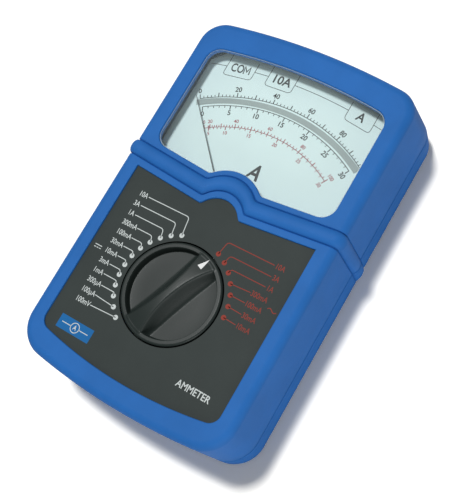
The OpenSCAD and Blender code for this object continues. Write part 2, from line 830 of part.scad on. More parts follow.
// ---- Movement ----
coil_hole_r = 13.2;
dial_screw = [24, 11.9];
coil_in_r = core_r + air_gap;
coil_out_r = coil_in_r + coil_t;
yoke_in_r = coil_out_r + air_gap;
yoke_out_r = yoke_in_r + yoke_t;
core_top = frame_back;
core_low = core_top - core_h;
coil_clear = 1;
coil_bar = 1.2;
coil_top = core_top + coil_clear + coil_bar;
coil_low = core_low - coil_clear - coil_bar;
pointer_z = dial_face + 1.5;
pointer_t = 0.3;
hub_z = pointer_z - 0.4;
hub_h = 1;
hub_r = 2.4;
bridge_t = 1.2;
bridge_hw = 3;
bridge_z = hub_z + hub_h + 0.8;
jewel_r = 1.6;
jewel_cup = 0.55;
front_tip = bridge_z + 0.1;
rear_bridge_top = coil_low - 3.8;
rear_bridge_back = rear_bridge_top - bridge_t;
lever_t = 0.8;
lever_z = rear_bridge_top + seat_gap;
rear_tip = lever_z + lever_t - 0.6;
spiral_h = 0.7;
front_spiral_z = coil_top + 0.6;
rear_spiral_z = coil_low - 1.6;
collet_r = 1.3;
spiral_in = collet_r + seat_gap;
spiral_out = 6;
spiral_turns = 3.5;
spring_turn = -25;     // front hairspring and its arm, clear of the bridge post
spiral_t = 0.25;
spiral_points = 24;

module at_pivot(turn = 0) {
    translate([0, pivot_y, 0]) rotate(turn) children();
}

frame_low = pivot_y - 9;
frame_low_hw = 36;
frame_low_cut = 8;
frame_top_y = window_top + 6;
frame_top_hw = 34;
frame_top_cut = 10;
module movement_frame() {
    color("#26292b") {
        difference() {
            prism(frame_back, dial_back, [
                [-frame_low_hw, frame_low], [frame_low_hw, frame_low],
                [dial_hw, frame_low + frame_low_cut], [dial_hw, frame_top_y - frame_top_cut],
                [frame_top_hw, frame_top_y], [-frame_top_hw, frame_top_y],
                [-dial_hw, frame_top_y - frame_top_cut], [-dial_hw, frame_low + frame_low_cut]
            ]);
            rod(0, pivot_y, frame_back - through, dial_back + through, coil_hole_r, round_fn);
            frame_post_places() rod(0, 0, frame_back - through, dial_back + through, frame_screw_r + 0.2);
            for (s = [-1, 1]) rod(s * dial_screw[0], dial_screw[1], frame_back - through, dial_back + through, 0.8);
        }
        at_pivot(spring_turn) {
            block([coil_hole_r + 0.3, -1, dial_back - layer_t], [coil_hole_r + 2.8, 1, front_spiral_z + 1]);
            block([spiral_out + 0.3, -1, front_spiral_z], [coil_hole_r + 1, 1, front_spiral_z + 1]);
        }
    }
}

module frame_screws() {
    color(steel) frame_post_places() headed_screw(frame_back, dial_back + 3.5, frame_screw_r, 2.3, 1.4);
}

module dial_screws() {
    color(brass) for (s = [-1, 1]) translate([s * dial_screw[0], dial_screw[1], 0]) {
        rod(0, 0, dial_face, dial_face + 0.7, 1.7);
        rod(0, 0, frame_back + 0.5, dial_face + layer_t, 0.78);
    }
}

stop_at = 18;
stop_r = 0.7;
needle_root = 0.55;
needle_tip = 0.2;
stop_deg = zero_deg + overtravel_deg + asin((stop_r + needle_root + 0.1) / stop_at);
module pointer_stops() {
    color(brass) for (s = [-1, 1]) at_pivot(s * stop_deg)
        rod(0, stop_at, dial_face, pointer_z + pointer_t + 0.4, stop_r);
}

module yoke_ring() {
    color("#6f7375") at_pivot() ring(0, 0, core_low, core_top, yoke_out_r, yoke_in_r);
}

module core_magnet() {
    color("#54575a") at_pivot() rod(0, 0, core_low, core_top, core_r, round_fn);
}

spacer_hw = 3;
module core_spacers() {
    color(brass) at_pivot() intersection() {
        ring(0, 0, core_low + 1, core_top - 1, yoke_in_r - fit_gap, core_r + fit_gap);
        block([-spacer_hw, -yoke_out_r, core_low], [spacer_hw, yoke_out_r, core_top]);
    }
}

bridge_post_x = 16;
module front_bridge() {
    color(brass) at_pivot() difference() {
        union() {
            block([-bridge_post_x - 3, -bridge_hw, bridge_z], [bridge_post_x + 3, bridge_hw, bridge_z + bridge_t]);
            for (s = [-1, 1]) rod(s * (bridge_post_x + 0.6), 0, dial_back, bridge_z + layer_t, 1.9);
        }
        rod(0, 0, bridge_z - through, bridge_z + bridge_t + through, jewel_r + fit_gap);
    }
}

module rear_bridge() {
    color(brass) at_pivot() difference() {
        union() {
            block([-bridge_post_x, -bridge_hw, rear_bridge_back], [bridge_post_x, bridge_hw, rear_bridge_top]);
            for (s = [-1, 1]) rod(s * (yoke_in_r + yoke_out_r) / 2, 0, rear_bridge_back, core_low, 2);
        }
        rod(0, 0, rear_bridge_back - through, rear_bridge_top + through, jewel_r + fit_gap);
    }
}

module front_jewel_screw() {
    color(brass) at_pivot() difference() {
        rod(0, 0, front_tip - 0.6, bridge_z + bridge_t + 0.5, jewel_r);
        rod(0, 0, front_tip - through, front_tip + pivot_gap, jewel_cup);
        block([-2, -0.25, bridge_z + bridge_t], [2, 0.25, bridge_z + bridge_t + through]);
    }
}

module rear_jewel_screw() {
    color(brass) at_pivot() difference() {
        rod(0, 0, rear_bridge_back - 0.6, lever_z + lever_t, jewel_r);
        rod(0, 0, rear_tip - pivot_gap, lever_z + lever_t + through, jewel_cup);
        block([-2, -0.25, rear_bridge_back - through], [2, 0.25, rear_bridge_back]);
    }
}

// Flat spiral strip from its inner to its outer radius
module spiral(z) {
    n = spiral_turns * spiral_points;
    function turn_point(i, d) = let (a = 360 * i / spiral_points, r = spiral_in + (spiral_out - spiral_in) * i / n + d)
        [r * cos(a), r * sin(a)];
    rotate(-360 * spiral_turns) prism(z, z + spiral_h, concat(
        [for (i = [0 : n]) turn_point(i, spiral_t)],
        [for (i = [n : -1 : 0]) turn_point(i, 0)]
    ));
}

module front_hairspring() {
    color("#b9a77a") at_pivot(spring_turn) spiral(front_spiral_z);
}

module rear_hairspring() {
    color("#b9a77a") at_pivot() rotate(-90) spiral(rear_spiral_z);
}

module pointer() {
    color("#1d1f20") at_pivot(zero_deg) {
        ring(0, 0, hub_z, hub_z + hub_h, hub_r, staff_r + fit_gap, small_fn);
        prism(pointer_z, pointer_z + pointer_t, [
            [-needle_root, hub_r - 0.2], [needle_root, hub_r - 0.2], [needle_tip, pointer_l], [-needle_tip, pointer_l]
        ]);
        block([-0.6, -tail_l, pointer_z], [0.6, 0.2 - hub_r, pointer_z + pointer_t]);
        block([-5, -tail_l + 4, pointer_z], [5, -tail_l + 5, pointer_z + pointer_t]);
    }
}

module balance_weights() {
    color(brass) at_pivot(zero_deg) {
        rod(0, -tail_l + 1.2, pointer_z + pointer_t, pointer_z + pointer_t + 0.5, 1.2);
        for (s = [-1, 1]) rod(s * 4, -tail_l + 4.5, pointer_z + pointer_t, pointer_z + pointer_t + 0.5, 0.9);
    }
}

module moving_coil() {
    color(copper) at_pivot(zero_deg) difference() {
        block([-coil_out_r, -coil_d / 2, coil_low], [coil_out_r, coil_d / 2, coil_top]);
        block([-coil_in_r, -coil_d, coil_low + coil_bar], [coil_in_r, coil_d, coil_top - coil_bar]);
    }
}

module pivot_staffs() {
    color(steel) at_pivot(zero_deg) {
        rod(0, 0, coil_top, hub_z + hub_h + 0.2, staff_r);
        rod(0, 0, hub_z + hub_h + 0.2 - layer_t, front_tip, jewel_cup - pivot_gap);
        rod(0, 0, front_spiral_z, front_spiral_z + spiral_h, collet_r);
        rod(0, 0, lever_z + lever_t + 0.2, coil_low, staff_r);
        rod(0, 0, rear_tip, lever_z + lever_t + 0.2 + layer_t, jewel_cup - pivot_gap);
        rod(0, 0, rear_spiral_z, rear_spiral_z + spiral_h, collet_r);
    }
}

// ---- Zero adjuster ----
pin_r = 0.8;
fork_gap = 0.15;
adjuster_shaft_top = lever_z - 0.8;
module zero_lever() {
    color(brass) at_pivot() {
        difference() {
            union() {
                rod(0, 0, lever_z, lever_z + lever_t, 4);
                block([-1.5, -adjuster_reach, lever_z], [1.5, 0, lever_z + lever_t]);
                block([-2.6, -adjuster_reach - 2, lever_z], [2.6, 3 - adjuster_reach, lever_z + lever_t]);
            }
            rod(0, 0, lever_z - through, lever_z + lever_t + through, jewel_r + 0.06);
            block(
                [-pin_r - fork_gap, -adjuster_reach - 2 - through, lever_z - through],
                [pin_r + fork_gap, adjuster_throw + pin_r + 0.4 - adjuster_reach, lever_z + lever_t + through]
            );
        }
        block([-0.8, -spiral_out - 1.6, lever_z], [0.8, -spiral_out - 0.35, rear_spiral_z + spiral_h]);
    }
}

module zero_adjuster() {
    color("#2b2d2f") translate([0, adjuster_y, 0]) {
        difference() {
            rod(0, 0, back_outer + 0.2, back_inner + 0.1, adjuster_r);
            block([-adjuster_r, -0.5, 0], [adjuster_r, 0.5, back_outer + 1.2]);
        }
        rod(0, 0, back_inner + 0.05, back_inner + 1.3, adjuster_r + 1.5);
        rod(0, 0, back_inner + 1.2, adjuster_shaft_top, 2.5);
        rod(0, adjuster_throw, adjuster_shaft_top - layer_t, lever_z + lever_t + 0.4, pin_r);
    }
}

// ---- Sockets ----
post_recess = 2;
contact_recess = 3;
contact_depth = 17;
tail_len = 5;
shroud_depth = 16;
module socket_sleeve(i) {
    x = socket_xs[i];
    mouth = socket_mouth(x);
    color("#26292b") difference() {
        union() {
            along_y(x, mouth - sleeve_l, mouth, socket_z, sleeve_r, round_fn);
            along_y(x, socket_collar(x) - 2, socket_collar(x), socket_z, collar_sleeve_r, round_fn);
        }
        difference() {
            along_y(x, mouth - shroud_depth, mouth + through, socket_z, shroud_r, round_fn);
            along_y(x, mouth - shroud_depth - through, mouth - post_recess, socket_z, post_r, round_fn);
        }
        along_y(x, mouth - sleeve_l - through, mouth + through, socket_z, contact_r + fit_gap, round_fn);
    }
}

module socket_contact(i) {
    x = socket_xs[i];
    front = socket_mouth(x) - contact_recess;
    color(brass) difference() {
        along_y(x, front - sleeve_l - tail_len + contact_recess, front, socket_z, contact_r, round_fn);
        along_y(x, front - contact_depth, front + through, socket_z, contact_bore_r, round_fn);
    }
}

module socket_com() { socket_sleeve(0); }
module socket_ten_amp() { socket_sleeve(1); }
module socket_amp() { socket_sleeve(2); }
module contact_com() { socket_contact(0); }
module contact_ten_amp() { socket_contact(1); }
module contact_amp() { socket_contact(2); }

// Flat strap through points, then up to the board
strap_z = socket_z - contact_r - strap_t;
strap_end = -22.5;
strap_turn = [22, 38.5, 26.5];   // x after the turn, y before and after it
module strap(i, bends) {
    x = socket_xs[i];
    start = socket_mouth(x) - sleeve_l - 1;
    last = len(bends) > 0 ? bends[len(bends) - 1][0] : x;
    points = concat([[x, start]], bends, [[last, strap_end]]);
    color(copper) {
        translate([0, 0, strap_z]) linear_extrude(strap_t) union() {
            for (k = [0 : len(points) - 2]) {
                a = points[k];
                b = points[k + 1];
                translate(a) rotate(atan2(b[1] - a[1], b[0] - a[0]))
                    translate([0, -strap_w / 2]) square([norm(b - a), strap_w]);
                if (k > 0) translate(a) circle(strap_w / 2, $fn = small_fn);
            }
        }
        block([last - strap_w / 2, strap_end, strap_z], [last + strap_w / 2, strap_end + 2, board_back]);
    }
}

module com_strap() { strap(0, []); }
module ten_amp_strap() { strap(1, [[socket_xs[1], strap_turn[1]], [-strap_turn[0], strap_turn[2]]]); }
module amp_strap() { strap(2, []); }

front_case();
rear_case();
window();
dial_plate();
mirror_arc();
switch_panel();
selector_knob();
switch_rotor();
wiper_contacts();
rotor_screw();
detent_spring();
detent_ring();
circuit_board();
contact_tracks();
board_screws();
movement_frame();
frame_screws();
dial_screws();
pointer_stops();
yoke_ring();
core_magnet();
core_spacers();
front_bridge();
rear_bridge();
front_jewel_screw();
rear_jewel_screw();
front_hairspring();
pointer();
balance_weights();
moving_coil();
pivot_staffs();
zero_lever();
rear_hairspring();
zero_adjuster();
socket_com();
socket_ten_amp();
socket_amp();
contact_com();
contact_ten_amp();
contact_amp();
com_strap();
ten_amp_strap();
amp_strap();
shunt_bar();
range_resistors();
fuse_large();
fuse_small();
fuse_clips();
case_screws();
rubber_feet();
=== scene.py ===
# Hand-held analog ammeter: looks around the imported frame
import json
from math import atan, atan2, cos, exp, hypot, pi, radians, sin, sqrt

import bmesh
import bpy
from mathutils import Matrix, Vector
from mathutils.geometry import delaunay_2d_cdt

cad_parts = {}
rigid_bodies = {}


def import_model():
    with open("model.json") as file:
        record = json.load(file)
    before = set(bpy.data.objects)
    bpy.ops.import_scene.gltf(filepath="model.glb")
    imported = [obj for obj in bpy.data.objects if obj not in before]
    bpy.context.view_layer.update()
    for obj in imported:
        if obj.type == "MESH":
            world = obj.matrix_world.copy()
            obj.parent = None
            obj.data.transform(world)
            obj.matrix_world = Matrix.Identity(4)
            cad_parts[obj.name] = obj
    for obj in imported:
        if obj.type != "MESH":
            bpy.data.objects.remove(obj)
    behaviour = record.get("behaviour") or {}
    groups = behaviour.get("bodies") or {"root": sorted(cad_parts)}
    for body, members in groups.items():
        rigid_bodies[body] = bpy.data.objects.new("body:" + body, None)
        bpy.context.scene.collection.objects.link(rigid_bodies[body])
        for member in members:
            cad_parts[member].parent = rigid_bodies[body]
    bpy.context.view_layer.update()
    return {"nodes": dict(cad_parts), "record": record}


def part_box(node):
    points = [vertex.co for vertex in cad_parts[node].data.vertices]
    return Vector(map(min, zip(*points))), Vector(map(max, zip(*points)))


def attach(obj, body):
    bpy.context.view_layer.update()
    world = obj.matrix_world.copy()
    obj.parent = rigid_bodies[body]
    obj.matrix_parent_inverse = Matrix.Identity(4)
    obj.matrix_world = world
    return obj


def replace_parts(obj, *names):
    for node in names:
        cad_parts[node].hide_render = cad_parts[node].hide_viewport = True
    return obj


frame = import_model()
record = frame["record"]
mm = 0.001
print("frame loaded:", len(frame["nodes"]), "nodes")


def newObject(name, data):
    thing = bpy.data.objects.new(name, data)
    bpy.context.scene.collection.objects.link(thing)
    return thing


def newNode(tree, kind, inputs, **settings):
    # a node with its settings, its inputs linked to other nodes' outputs or set to values
    node = tree.nodes.new(kind)
    for key, value in settings.items():
        setattr(node, key, value)
    for key, value in inputs.items():
        if isinstance(value, bpy.types.NodeSocket):
            tree.links.new(value, node.inputs[key])
        else:
            node.inputs[key].default_value = value
    return node


def shader(name, color, roughness, specular=0.5, **more):
    mat = bpy.data.materials.new(name)
    mat.use_nodes = True
    tree = mat.node_tree
    bsdf = tree.nodes["Principled BSDF"]
    bsdf.inputs["Base Color"].default_value = (*color, 1)
    bsdf.inputs["Roughness"].default_value = roughness
    bsdf.inputs["Specular IOR Level"].default_value = specular
    for key, value in more.items():
        bsdf.inputs[key].default_value = value
    return mat, tree, bsdf


# camera, lights and floor
view = {
    "place": (150.6, -64.9, 362.2),  # mm
    "right": (0.82092, 0.50098, -0.27405),
    "up": (-0.41026, 0.85125, 0.32720),
    "lens": 66.51, "sensor": 36.0,
}


def makeCamera():
    data = bpy.data.cameras.new("camera")
    data.lens = view["lens"]
    data.sensor_width = view["sensor"]
    data.clip_start = 0.01
    camera = newObject("camera", data)
    right = Vector(view["right"]).normalized()
    up = Vector(view["up"])
    up = (up - right * up.dot(right)).normalized()
    turn = Matrix((right, up, right.cross(up))).transposed()
    camera.matrix_world = Matrix.Translation(Vector(view["place"]) * mm) @ turn.to_4x4()
    bpy.context.scene.camera = camera


# places and sizes in metres, powers in watts
studio = {
    "lamps": {
        "key": {"place": (-0.32, 0.25, 1.87), "size": 0.22, "power": 27.0},
        "fill": {"place": (1.35, -1.15, 0.36), "size": 0.8, "power": 14.5},
        "left": {"place": (-1.3, 0.75, 0.8), "size": 0.6, "power": 2.4},
    },
    "aim": (0, 0, 0.02),
    "world": 0.13,
    "floorHalf": 3.0,
    "floor": (0.86, 0.86, 0.86),
    "floorSeen": (1.28, 1.25, 1.17),  # the floor's colour for the camera alone
}


def makeLamp(name, place, size, power):
    data = bpy.data.lights.new(name, "AREA")
    data.energy = power
    data.size = size
    lamp = newObject(name, data)
    aim = Vector(studio["aim"]) - Vector(place)
    lamp.rotation_euler = aim.to_track_quat("-Z", "Y").to_euler()
    lamp.location = place


def makeWorld():
    # a low light on the object, a pale ground behind it
    world = bpy.data.worlds.new("studio")
    world.use_nodes = True
    bpy.context.scene.world = world
    tree = world.node_tree
    tree.nodes.clear()
    soft = newNode(tree, "ShaderNodeBackground", {"Color": (1, 1, 1, 1), "Strength": studio["world"]})
    pale = newNode(tree, "ShaderNodeBackground", {"Strength": 1.0})
    path = newNode(tree, "ShaderNodeLightPath", {})
    mix = newNode(tree, "ShaderNodeMixShader", {
        "Fac": path.outputs["Is Camera Ray"], 1: soft.outputs[0], 2: pale.outputs[0]})
    newNode(tree, "ShaderNodeOutputWorld", {"Surface": mix.outputs[0]})


def makeFloor():
    mesh = bpy.data.meshes.new("floor")
    s = studio["floorHalf"]
    mesh.from_pydata([(-s, -s, 0), (s, -s, 0), (s, s, 0), (-s, s, 0)], [], [(0, 1, 2, 3)])
    mat, tree, bsdf = shader("floorPaper", studio["floor"], 0.9, 0.0)
    path = newNode(tree, "ShaderNodeLightPath", {})
    colors = {"A": (*studio["floor"], 1), "B": (*studio["floorSeen"], 1)}
    pick = newNode(tree, "ShaderNodeMix", {"Factor": path.outputs["Is Camera Ray"], **colors},
                   data_type="RGBA")
    tree.links.new(pick.outputs["Result"], bsdf.inputs["Base Color"])
    mesh.materials.append(mat)
    newObject("floor", mesh)


makeCamera()
bpy.context.scene.view_settings.view_transform = "Standard"
for lampName, lampRow in studio["lamps"].items():
    makeLamp(lampName, **lampRow)
makeWorld()
makeFloor()
print("camera and studio ready")

# shapes shared by the case pieces, in mm
turnAt = {row["name"]: [v / mm for v in row["pos_m"]] for row in record["behaviour"]["joints"]}
knobY = turnAt["range_select"][1]
pivotY = turnAt["pointer_swing"][1]
frontLow, frontHigh = [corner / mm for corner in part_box("front_case")]
panelLow, panelHigh = [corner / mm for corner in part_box("switch_panel")]
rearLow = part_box("rear_case")[0] / mm
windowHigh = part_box("window")[1] / mm
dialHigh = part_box("dial_plate")[1] / mm

# raised band across the face, humped around the knob's head side, and down both sides
belt = {
    "hump": 17.1, "radius": 15.0, "arm": 10.8, "slope": 0.09, "blend": 1.5,
    "width": 6.6, "proud": 1.4, "groove": 0.7, "grooveWidth": 0.24,
    "rows": (-1.4, -1.0, -0.75, -0.6, -0.45, -0.3, -0.15, 0.0, 0.15, 0.35, 0.7, 1.2, 1.9, 2.6),
    "level": (1.5, 5.0),  # where it rises out of the rear case's sides
    "fine": 0.8,  # step of the columns over its hump
}
case = {
    "halfWidth": frontHigh.x - belt["proud"],
    "end": frontHigh.y,
    "head": {"bow": 300.0, "corner": 11.0},
    "tail": {"bow": 300.0, "corner": 14.0},
    "headLean": 3.9, "sideLean": 1.5,
    "frontEdge": 3.5, "backEdge": 2.2, "lip": 0.06,  # lip: flat strip beside each rounded edge
    "parting": frontLow.z,
    "face": frontHigh.z - belt["proud"],
    "back": rearLow.z,
    "wall": 2.4, "roofThick": 3.2,
    "seam": ((0.6, 0.0), (0.55, 0.16), (0.08, 0.32), (0.0, 0.46)),
    "frontLevels": (20.0, 30.0), "rearLevels": (9.0, 6.5, 5.0, 4.2),
}
case["roof"] = case["face"] - case["roofThick"]
case["floor"] = case["back"] + case["wall"]


def blendMax(a, b, k):
    h = max(k - abs(a - b), 0) / k
    return max(a, b) + h * h * k / 4


def smoothStep(t):
    t = min(1, max(0, t))
    return t * t * (3 - 2 * t)


def quarter(steps):
    return [pi / 2 * i / steps for i in range(steps + 1)]


def beltLine(x, d=0.0):
    # y of the belt's upper edge, or of a line at d below it
    r = belt["radius"] - d / 2
    arm = belt["arm"] - d + belt["slope"] * abs(x)
    hump = belt["hump"] - d - r + sqrt(r * r - x * x) if abs(x) < r else arm - belt["blend"]
    return blendMax(hump, arm, belt["blend"])


def faceColumns(limit, coarse=3.0):
    # x values across the face, closer together over the belt's hump
    span = belt["radius"] + 4
    steps = round(2 * span / belt["fine"])
    inner = [-span + 2 * span * i / steps for i in range(steps + 1)]
    steps = max(1, round((limit - span) / coarse))
    outer = [span + (limit - span) * i / steps for i in range(1, steps + 1)]
    return [-x for x in reversed(outer)] + inner + outer


beltRows = [*belt["rows"], belt["width"] / 2, *[belt["width"] - v for v in reversed(belt["rows"])]]


def beltHeight(v):
    # crowned belt with a groove along both edges
    w = belt["width"]
    t = abs(2 * v / w - 1)
    crown = belt["proud"] * (1 - t ** 2.6) if t < 1 else 0.0
    edge = min(abs(v), abs(v - w))
    dip = belt["groove"] * exp(-(edge / belt["grooveWidth"]) ** 2)
    return crown - dip


def lean(z, amount="headLean"):
    # how far the socket end or the sides have leaned in at height z
    return case[amount] * max(z - case["parting"], 0) / (case["face"] - case["parting"])


def halfWidth(z):
    return case["halfWidth"] - lean(z, "sideLean")


def bowedEnd(half, edgeY, bow, corner, d, steps=14, spans=40):
    # right corner, bowed edge and left corner of an end at +Y, moved outwards by d
    cx = half - corner
    base = edgeY - bow
    cy = base + sqrt((bow - corner) ** 2 - cx * cx)
    turn = atan2(cy - base, cx)
    turns = [turn * i / steps for i in range(steps + 1)]
    arc = [(cx + (corner + d) * cos(a), cy + (corner + d) * sin(a)) for a in turns]
    turns = [turn + (pi - 2 * turn) * i / spans for i in range(1, spans)]
    mid = [((bow + d) * cos(a), base + (bow + d) * sin(a)) for a in turns]
    return arc + mid + [(-x, y) for x, y in reversed(arc)]


def headRun(d, z):
    return bowedEnd(halfWidth(z), case["end"] - lean(z), case["head"]["bow"], case["head"]["corner"], -d)


def tailRun(d, z):
    run = bowedEnd(halfWidth(z), case["end"], case["tail"]["bow"], case["tail"]["corner"], -d)
    return [(-x, -y) for x, y in run]


def plainRing(d, z):
    return [(x, y, z) for x, y in headRun(d, z) + tailRun(d, z)]


def caseRing(d, z, nx=1.0, nz=0.0, grow=1.0):
    # closed loop of the case outline moved in by d, with the belt standing out along (nx, nz)
    side = halfWidth(z) - d
    left = []
    for v in beltRows:
        h = beltHeight(v) * grow
        left.append((-(side + h * nx), beltLine(side, v), z + h * nz))
    points = [(x, y, z) for x, y in headRun(d, z)] + left
    points += [(x, y, z) for x, y in tailRun(d, z)]
    return points + [(-x, y, height) for x, y, height in reversed(left)]


# mesh helpers, points in mm
def newBag():
    return {"points": [], "faces": []}


def addPoints(bag, points):
    start = len(bag["points"])
    bag["points"] += [tuple(p) for p in points]
    return list(range(start, start + len(points)))


def bridge(bag, low, high, closed=True):
    n = len(low)
    for i in range(n if closed else n - 1):
        j = (i + 1) % n
        bag["faces"].append((low[i], low[j], high[j], high[i]))


def bridgeAll(bag, rings):
    for a, b in zip(rings, rings[1:]):
        bridge(bag, a, b)


def inside(loop, x, y):
    hit = False
    for (xi, yi), (xj, yj) in zip(loop, loop[-1:] + loop[:-1]):
        if (yi > y) != (yj > y) and x < (xj - xi) * (y - yi) / (yj - yi) + xi:
            hit = not hit
    return hit


def fillFlat(bag, outer, holes=(), up=True):
    # triangles between an outer loop and its holes, all given as point numbers
    loops = [list(outer)] + [list(h) for h in holes]
    numbers, edges = [], []
    for loop in loops:
        start = len(numbers)
        numbers += loop
        edges += [(start + i, start + (i + 1) % len(loop)) for i in range(len(loop))]
    flat = [Vector(bag["points"][i][:2]) for i in numbers]
    found = delaunay_2d_cdt(flat, edges, [], 0, 1e-6, True)
    verts, tris, origins = found[0], found[2], found[3]
    shapes = [[bag["points"][i][:2] for i in loop] for loop in loops]
    for tri in tris:
        x = sum(verts[k].x for k in tri) / 3
        y = sum(verts[k].y for k in tri) / 3
        if not inside(shapes[0], x, y) or any(inside(h, x, y) for h in shapes[1:]):
            continue
        a, b, c = [verts[k] for k in tri]
        area = (b.x - a.x) * (c.y - a.y) - (b.y - a.y) * (c.x - a.x)
        if abs(area) < 1e-3:  # a sliver
            continue
        ids = [numbers[origins[k][0]] for k in tri]
        bag["faces"].append(tuple(ids if (area > 0) == up else reversed(ids)))


def addBar(bag, near, far):
    # closed bar between two outlines
    ends = [addPoints(bag, near), addPoints(bag, far)]
    bridge(bag, ends[0], ends[1])
    bag["faces"] += [tuple(reversed(ends[0])), tuple(ends[1])]


def circle(cx, cy, z, r, n=96):
    turns = [2 * pi * i / n for i in range(n)]
    return [(cx + r * cos(a), cy + r * sin(a), z) for a in turns]


def lathe(bag, cx, cy, profile, n=96, first=None, last=None):
    # rings through (radius, z); the first and the last may be rings that are there already
    rings = []
    for k, (r, z) in enumerate(profile):
        if k == 0 and first is not None:
            rings.append(first)
        elif k == len(profile) - 1 and last is not None:
            rings.append(last)
        else:
            rings.append(addPoints(bag, circle(cx, cy, z, r, n)))
    bridgeAll(bag, rings)
    return rings


def cutWith(piece, bag, sharp):
    # takes a closed shape out of a piece
    mesh = bpy.data.meshes.new("cutter")
    mesh.from_pydata([(x * mm, y * mm, z * mm) for x, y, z in bag["points"]], [], bag["faces"])
    tool = newObject("cutter", mesh)
    cut = piece.modifiers.new("cut", "BOOLEAN")
    cut.operation = "DIFFERENCE"
    cut.solver = "EXACT"
    cut.object = tool
    graph = bpy.context.evaluated_depsgraph_get()
    result = bpy.data.meshes.new_from_object(piece.evaluated_get(graph))
    piece.modifiers.remove(cut)
    bpy.data.batch_remove([tool, mesh])
    bm = bmesh.new()
    bm.from_mesh(result)
    finishMesh(bm, sharp)
    bm.to_mesh(piece.data)
    bm.free()
    bpy.data.meshes.remove(result)


def makePiece(name, bag, body, coat, sharp=38.0, merge=1e-4, cutter=None):
    mesh = bpy.data.meshes.new(name)
    bm = bmesh.new()
    verts = [bm.verts.new((x * mm, y * mm, z * mm)) for x, y, z in bag["points"]]
    for face in bag["faces"]:
        bm.faces.new([verts[i] for i in face])
    bmesh.ops.remove_doubles(bm, verts=bm.verts, dist=merge * mm)
    loose = [v for v in bm.verts if not v.link_faces]
    bmesh.ops.delete(bm, geom=loose, context="VERTS")
    if all(len(edge.link_faces) == 2 for edge in bm.edges):
        bmesh.ops.recalc_face_normals(bm, faces=bm.faces)
    finishMesh(bm, sharp)
    bm.to_mesh(mesh)
    bm.free()
    piece = newObject(name, mesh)
    mesh.materials.append(paint[coat])
    if cutter:
        cutWith(piece, cutter, sharp)
    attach(piece, body)
    return piece


def finishMesh(bm, sharp):
    # smooth shading, with the edges over the angle kept sharp
    limit = radians(sharp)
    for face in bm.faces:
        face.smooth = True
    for edge in bm.edges:
        if len(edge.link_faces) == 2:
            edge.smooth = edge.calc_face_angle(0.0) < limit


# materials
plastics = {
    "caseBlue": {"color": (0.022, 0.142, 0.452), "roughness": 0.6, "specular": 0.12},
    "panelDark": {"color": (0.035, 0.045, 0.043), "roughness": 0.6, "grain": 1300.0, "depth": 0.00005,
                  "specular": 0.15},
    "knobDark": {"color": (0.021, 0.029, 0.027), "roughness": 0.4, "grain": 1800.0, "depth": 0.00003,
                 "specular": 0.22},
    "blackPlastic": {"color": (0.012, 0.013, 0.014), "roughness": 0.45},
    "creamPlastic": {"color": (0.76, 0.72, 0.60)},
    "rubber": {"color": (0.018, 0.018, 0.019), "roughness": 0.8, "grain": 2500.0, "depth": 0.00003},
    "boardGreen": {"color": (0.03, 0.14, 0.06), "roughness": 0.4},
    "resistorBody": {"color": (0.55, 0.42, 0.24)},
    "fuseBody": {"color": (0.8, 0.77, 0.7), "roughness": 0.25},
    "pointerBlack": {"color": (0.012, 0.012, 0.012)},
    "dialWhite": {"color": (0.69, 0.86, 0.85), "roughness": 0.55, "grain": 900.0, "depth": 0.000004,
                  "tint": 0.012, "specular": 0.2},
    # the mirror strip is a matte grey-green: a painted reflection in place of a real mirror's
    "mirror": {"color": (0.29, 0.36, 0.35), "roughness": 0.45, "grain": 400.0, "depth": 0.000002,
               "tint": 0.1, "specular": 0.25},
}
metals = {
    "brass": {"color": (0.62, 0.42, 0.14)},
    "steel": {"color": (0.55, 0.56, 0.58)},
    "iron": {"color": (0.32, 0.33, 0.34), "roughness": 0.45},
    "magnet": {"color": (0.22, 0.22, 0.24), "roughness": 0.5},
    "copper": {"color": (0.65, 0.28, 0.13), "roughness": 0.35},
}
inks = {
    "inkBlack": (0.018, 0.018, 0.02), "inkRed": (0.33, 0.03, 0.05), "inkRust": (0.27, 0.036, 0.022),
    "inkWhite": (0.60, 0.65, 0.64), "inkArrow": (0.86, 0.87, 0.86), "plateBlue": (0.006, 0.13, 0.37),
}
slotPaint = {
    "case_blue": "caseBlue", "panel_dark": "panelDark", "knob_dark": "knobDark", "clear_plastic": "clear",
    "dial_white": "dialWhite", "mirror_strip": "mirror", "pointer_black": "pointerBlack",
    "black_plastic": "blackPlastic", "rotor_plastic": "creamPlastic", "rubber_black": "rubber",
    "board_green": "boardGreen", "resistor_body": "resistorBody", "fuse_body": "fuseBody",
    **{metal: metal for metal in metals},
}


def addNoise(tree, scale, detail):
    coord = newNode(tree, "ShaderNodeTexCoord", {})
    inputs = {"Vector": coord.outputs["Object"], "Scale": scale, "Detail": detail, "Roughness": 0.55}
    return newNode(tree, "ShaderNodeTexNoise", inputs).outputs["Fac"]


def addBump(tree, bsdf, source, strength, distance):
    bump = newNode(tree, "ShaderNodeBump", {"Height": source, "Strength": strength, "Distance": distance})
    tree.links.new(bump.outputs["Normal"], bsdf.inputs["Normal"])


def addTint(tree, bsdf, source, low, high):
    ramp = newNode(tree, "ShaderNodeValToRGB", {"Fac": source})
    for end, color, place in zip(ramp.color_ramp.elements, (low, high), (0.3, 0.7)):
        end.color = (*color, 1)
        end.position = place
    tree.links.new(ramp.outputs["Color"], bsdf.inputs["Base Color"])


def addSpread(tree, bsdf, source, low, high):
    spread = newNode(tree, "ShaderNodeMapRange", {"Value": source, "To Min": low, "To Max": high})
    tree.links.new(spread.outputs["Result"], bsdf.inputs["Roughness"])


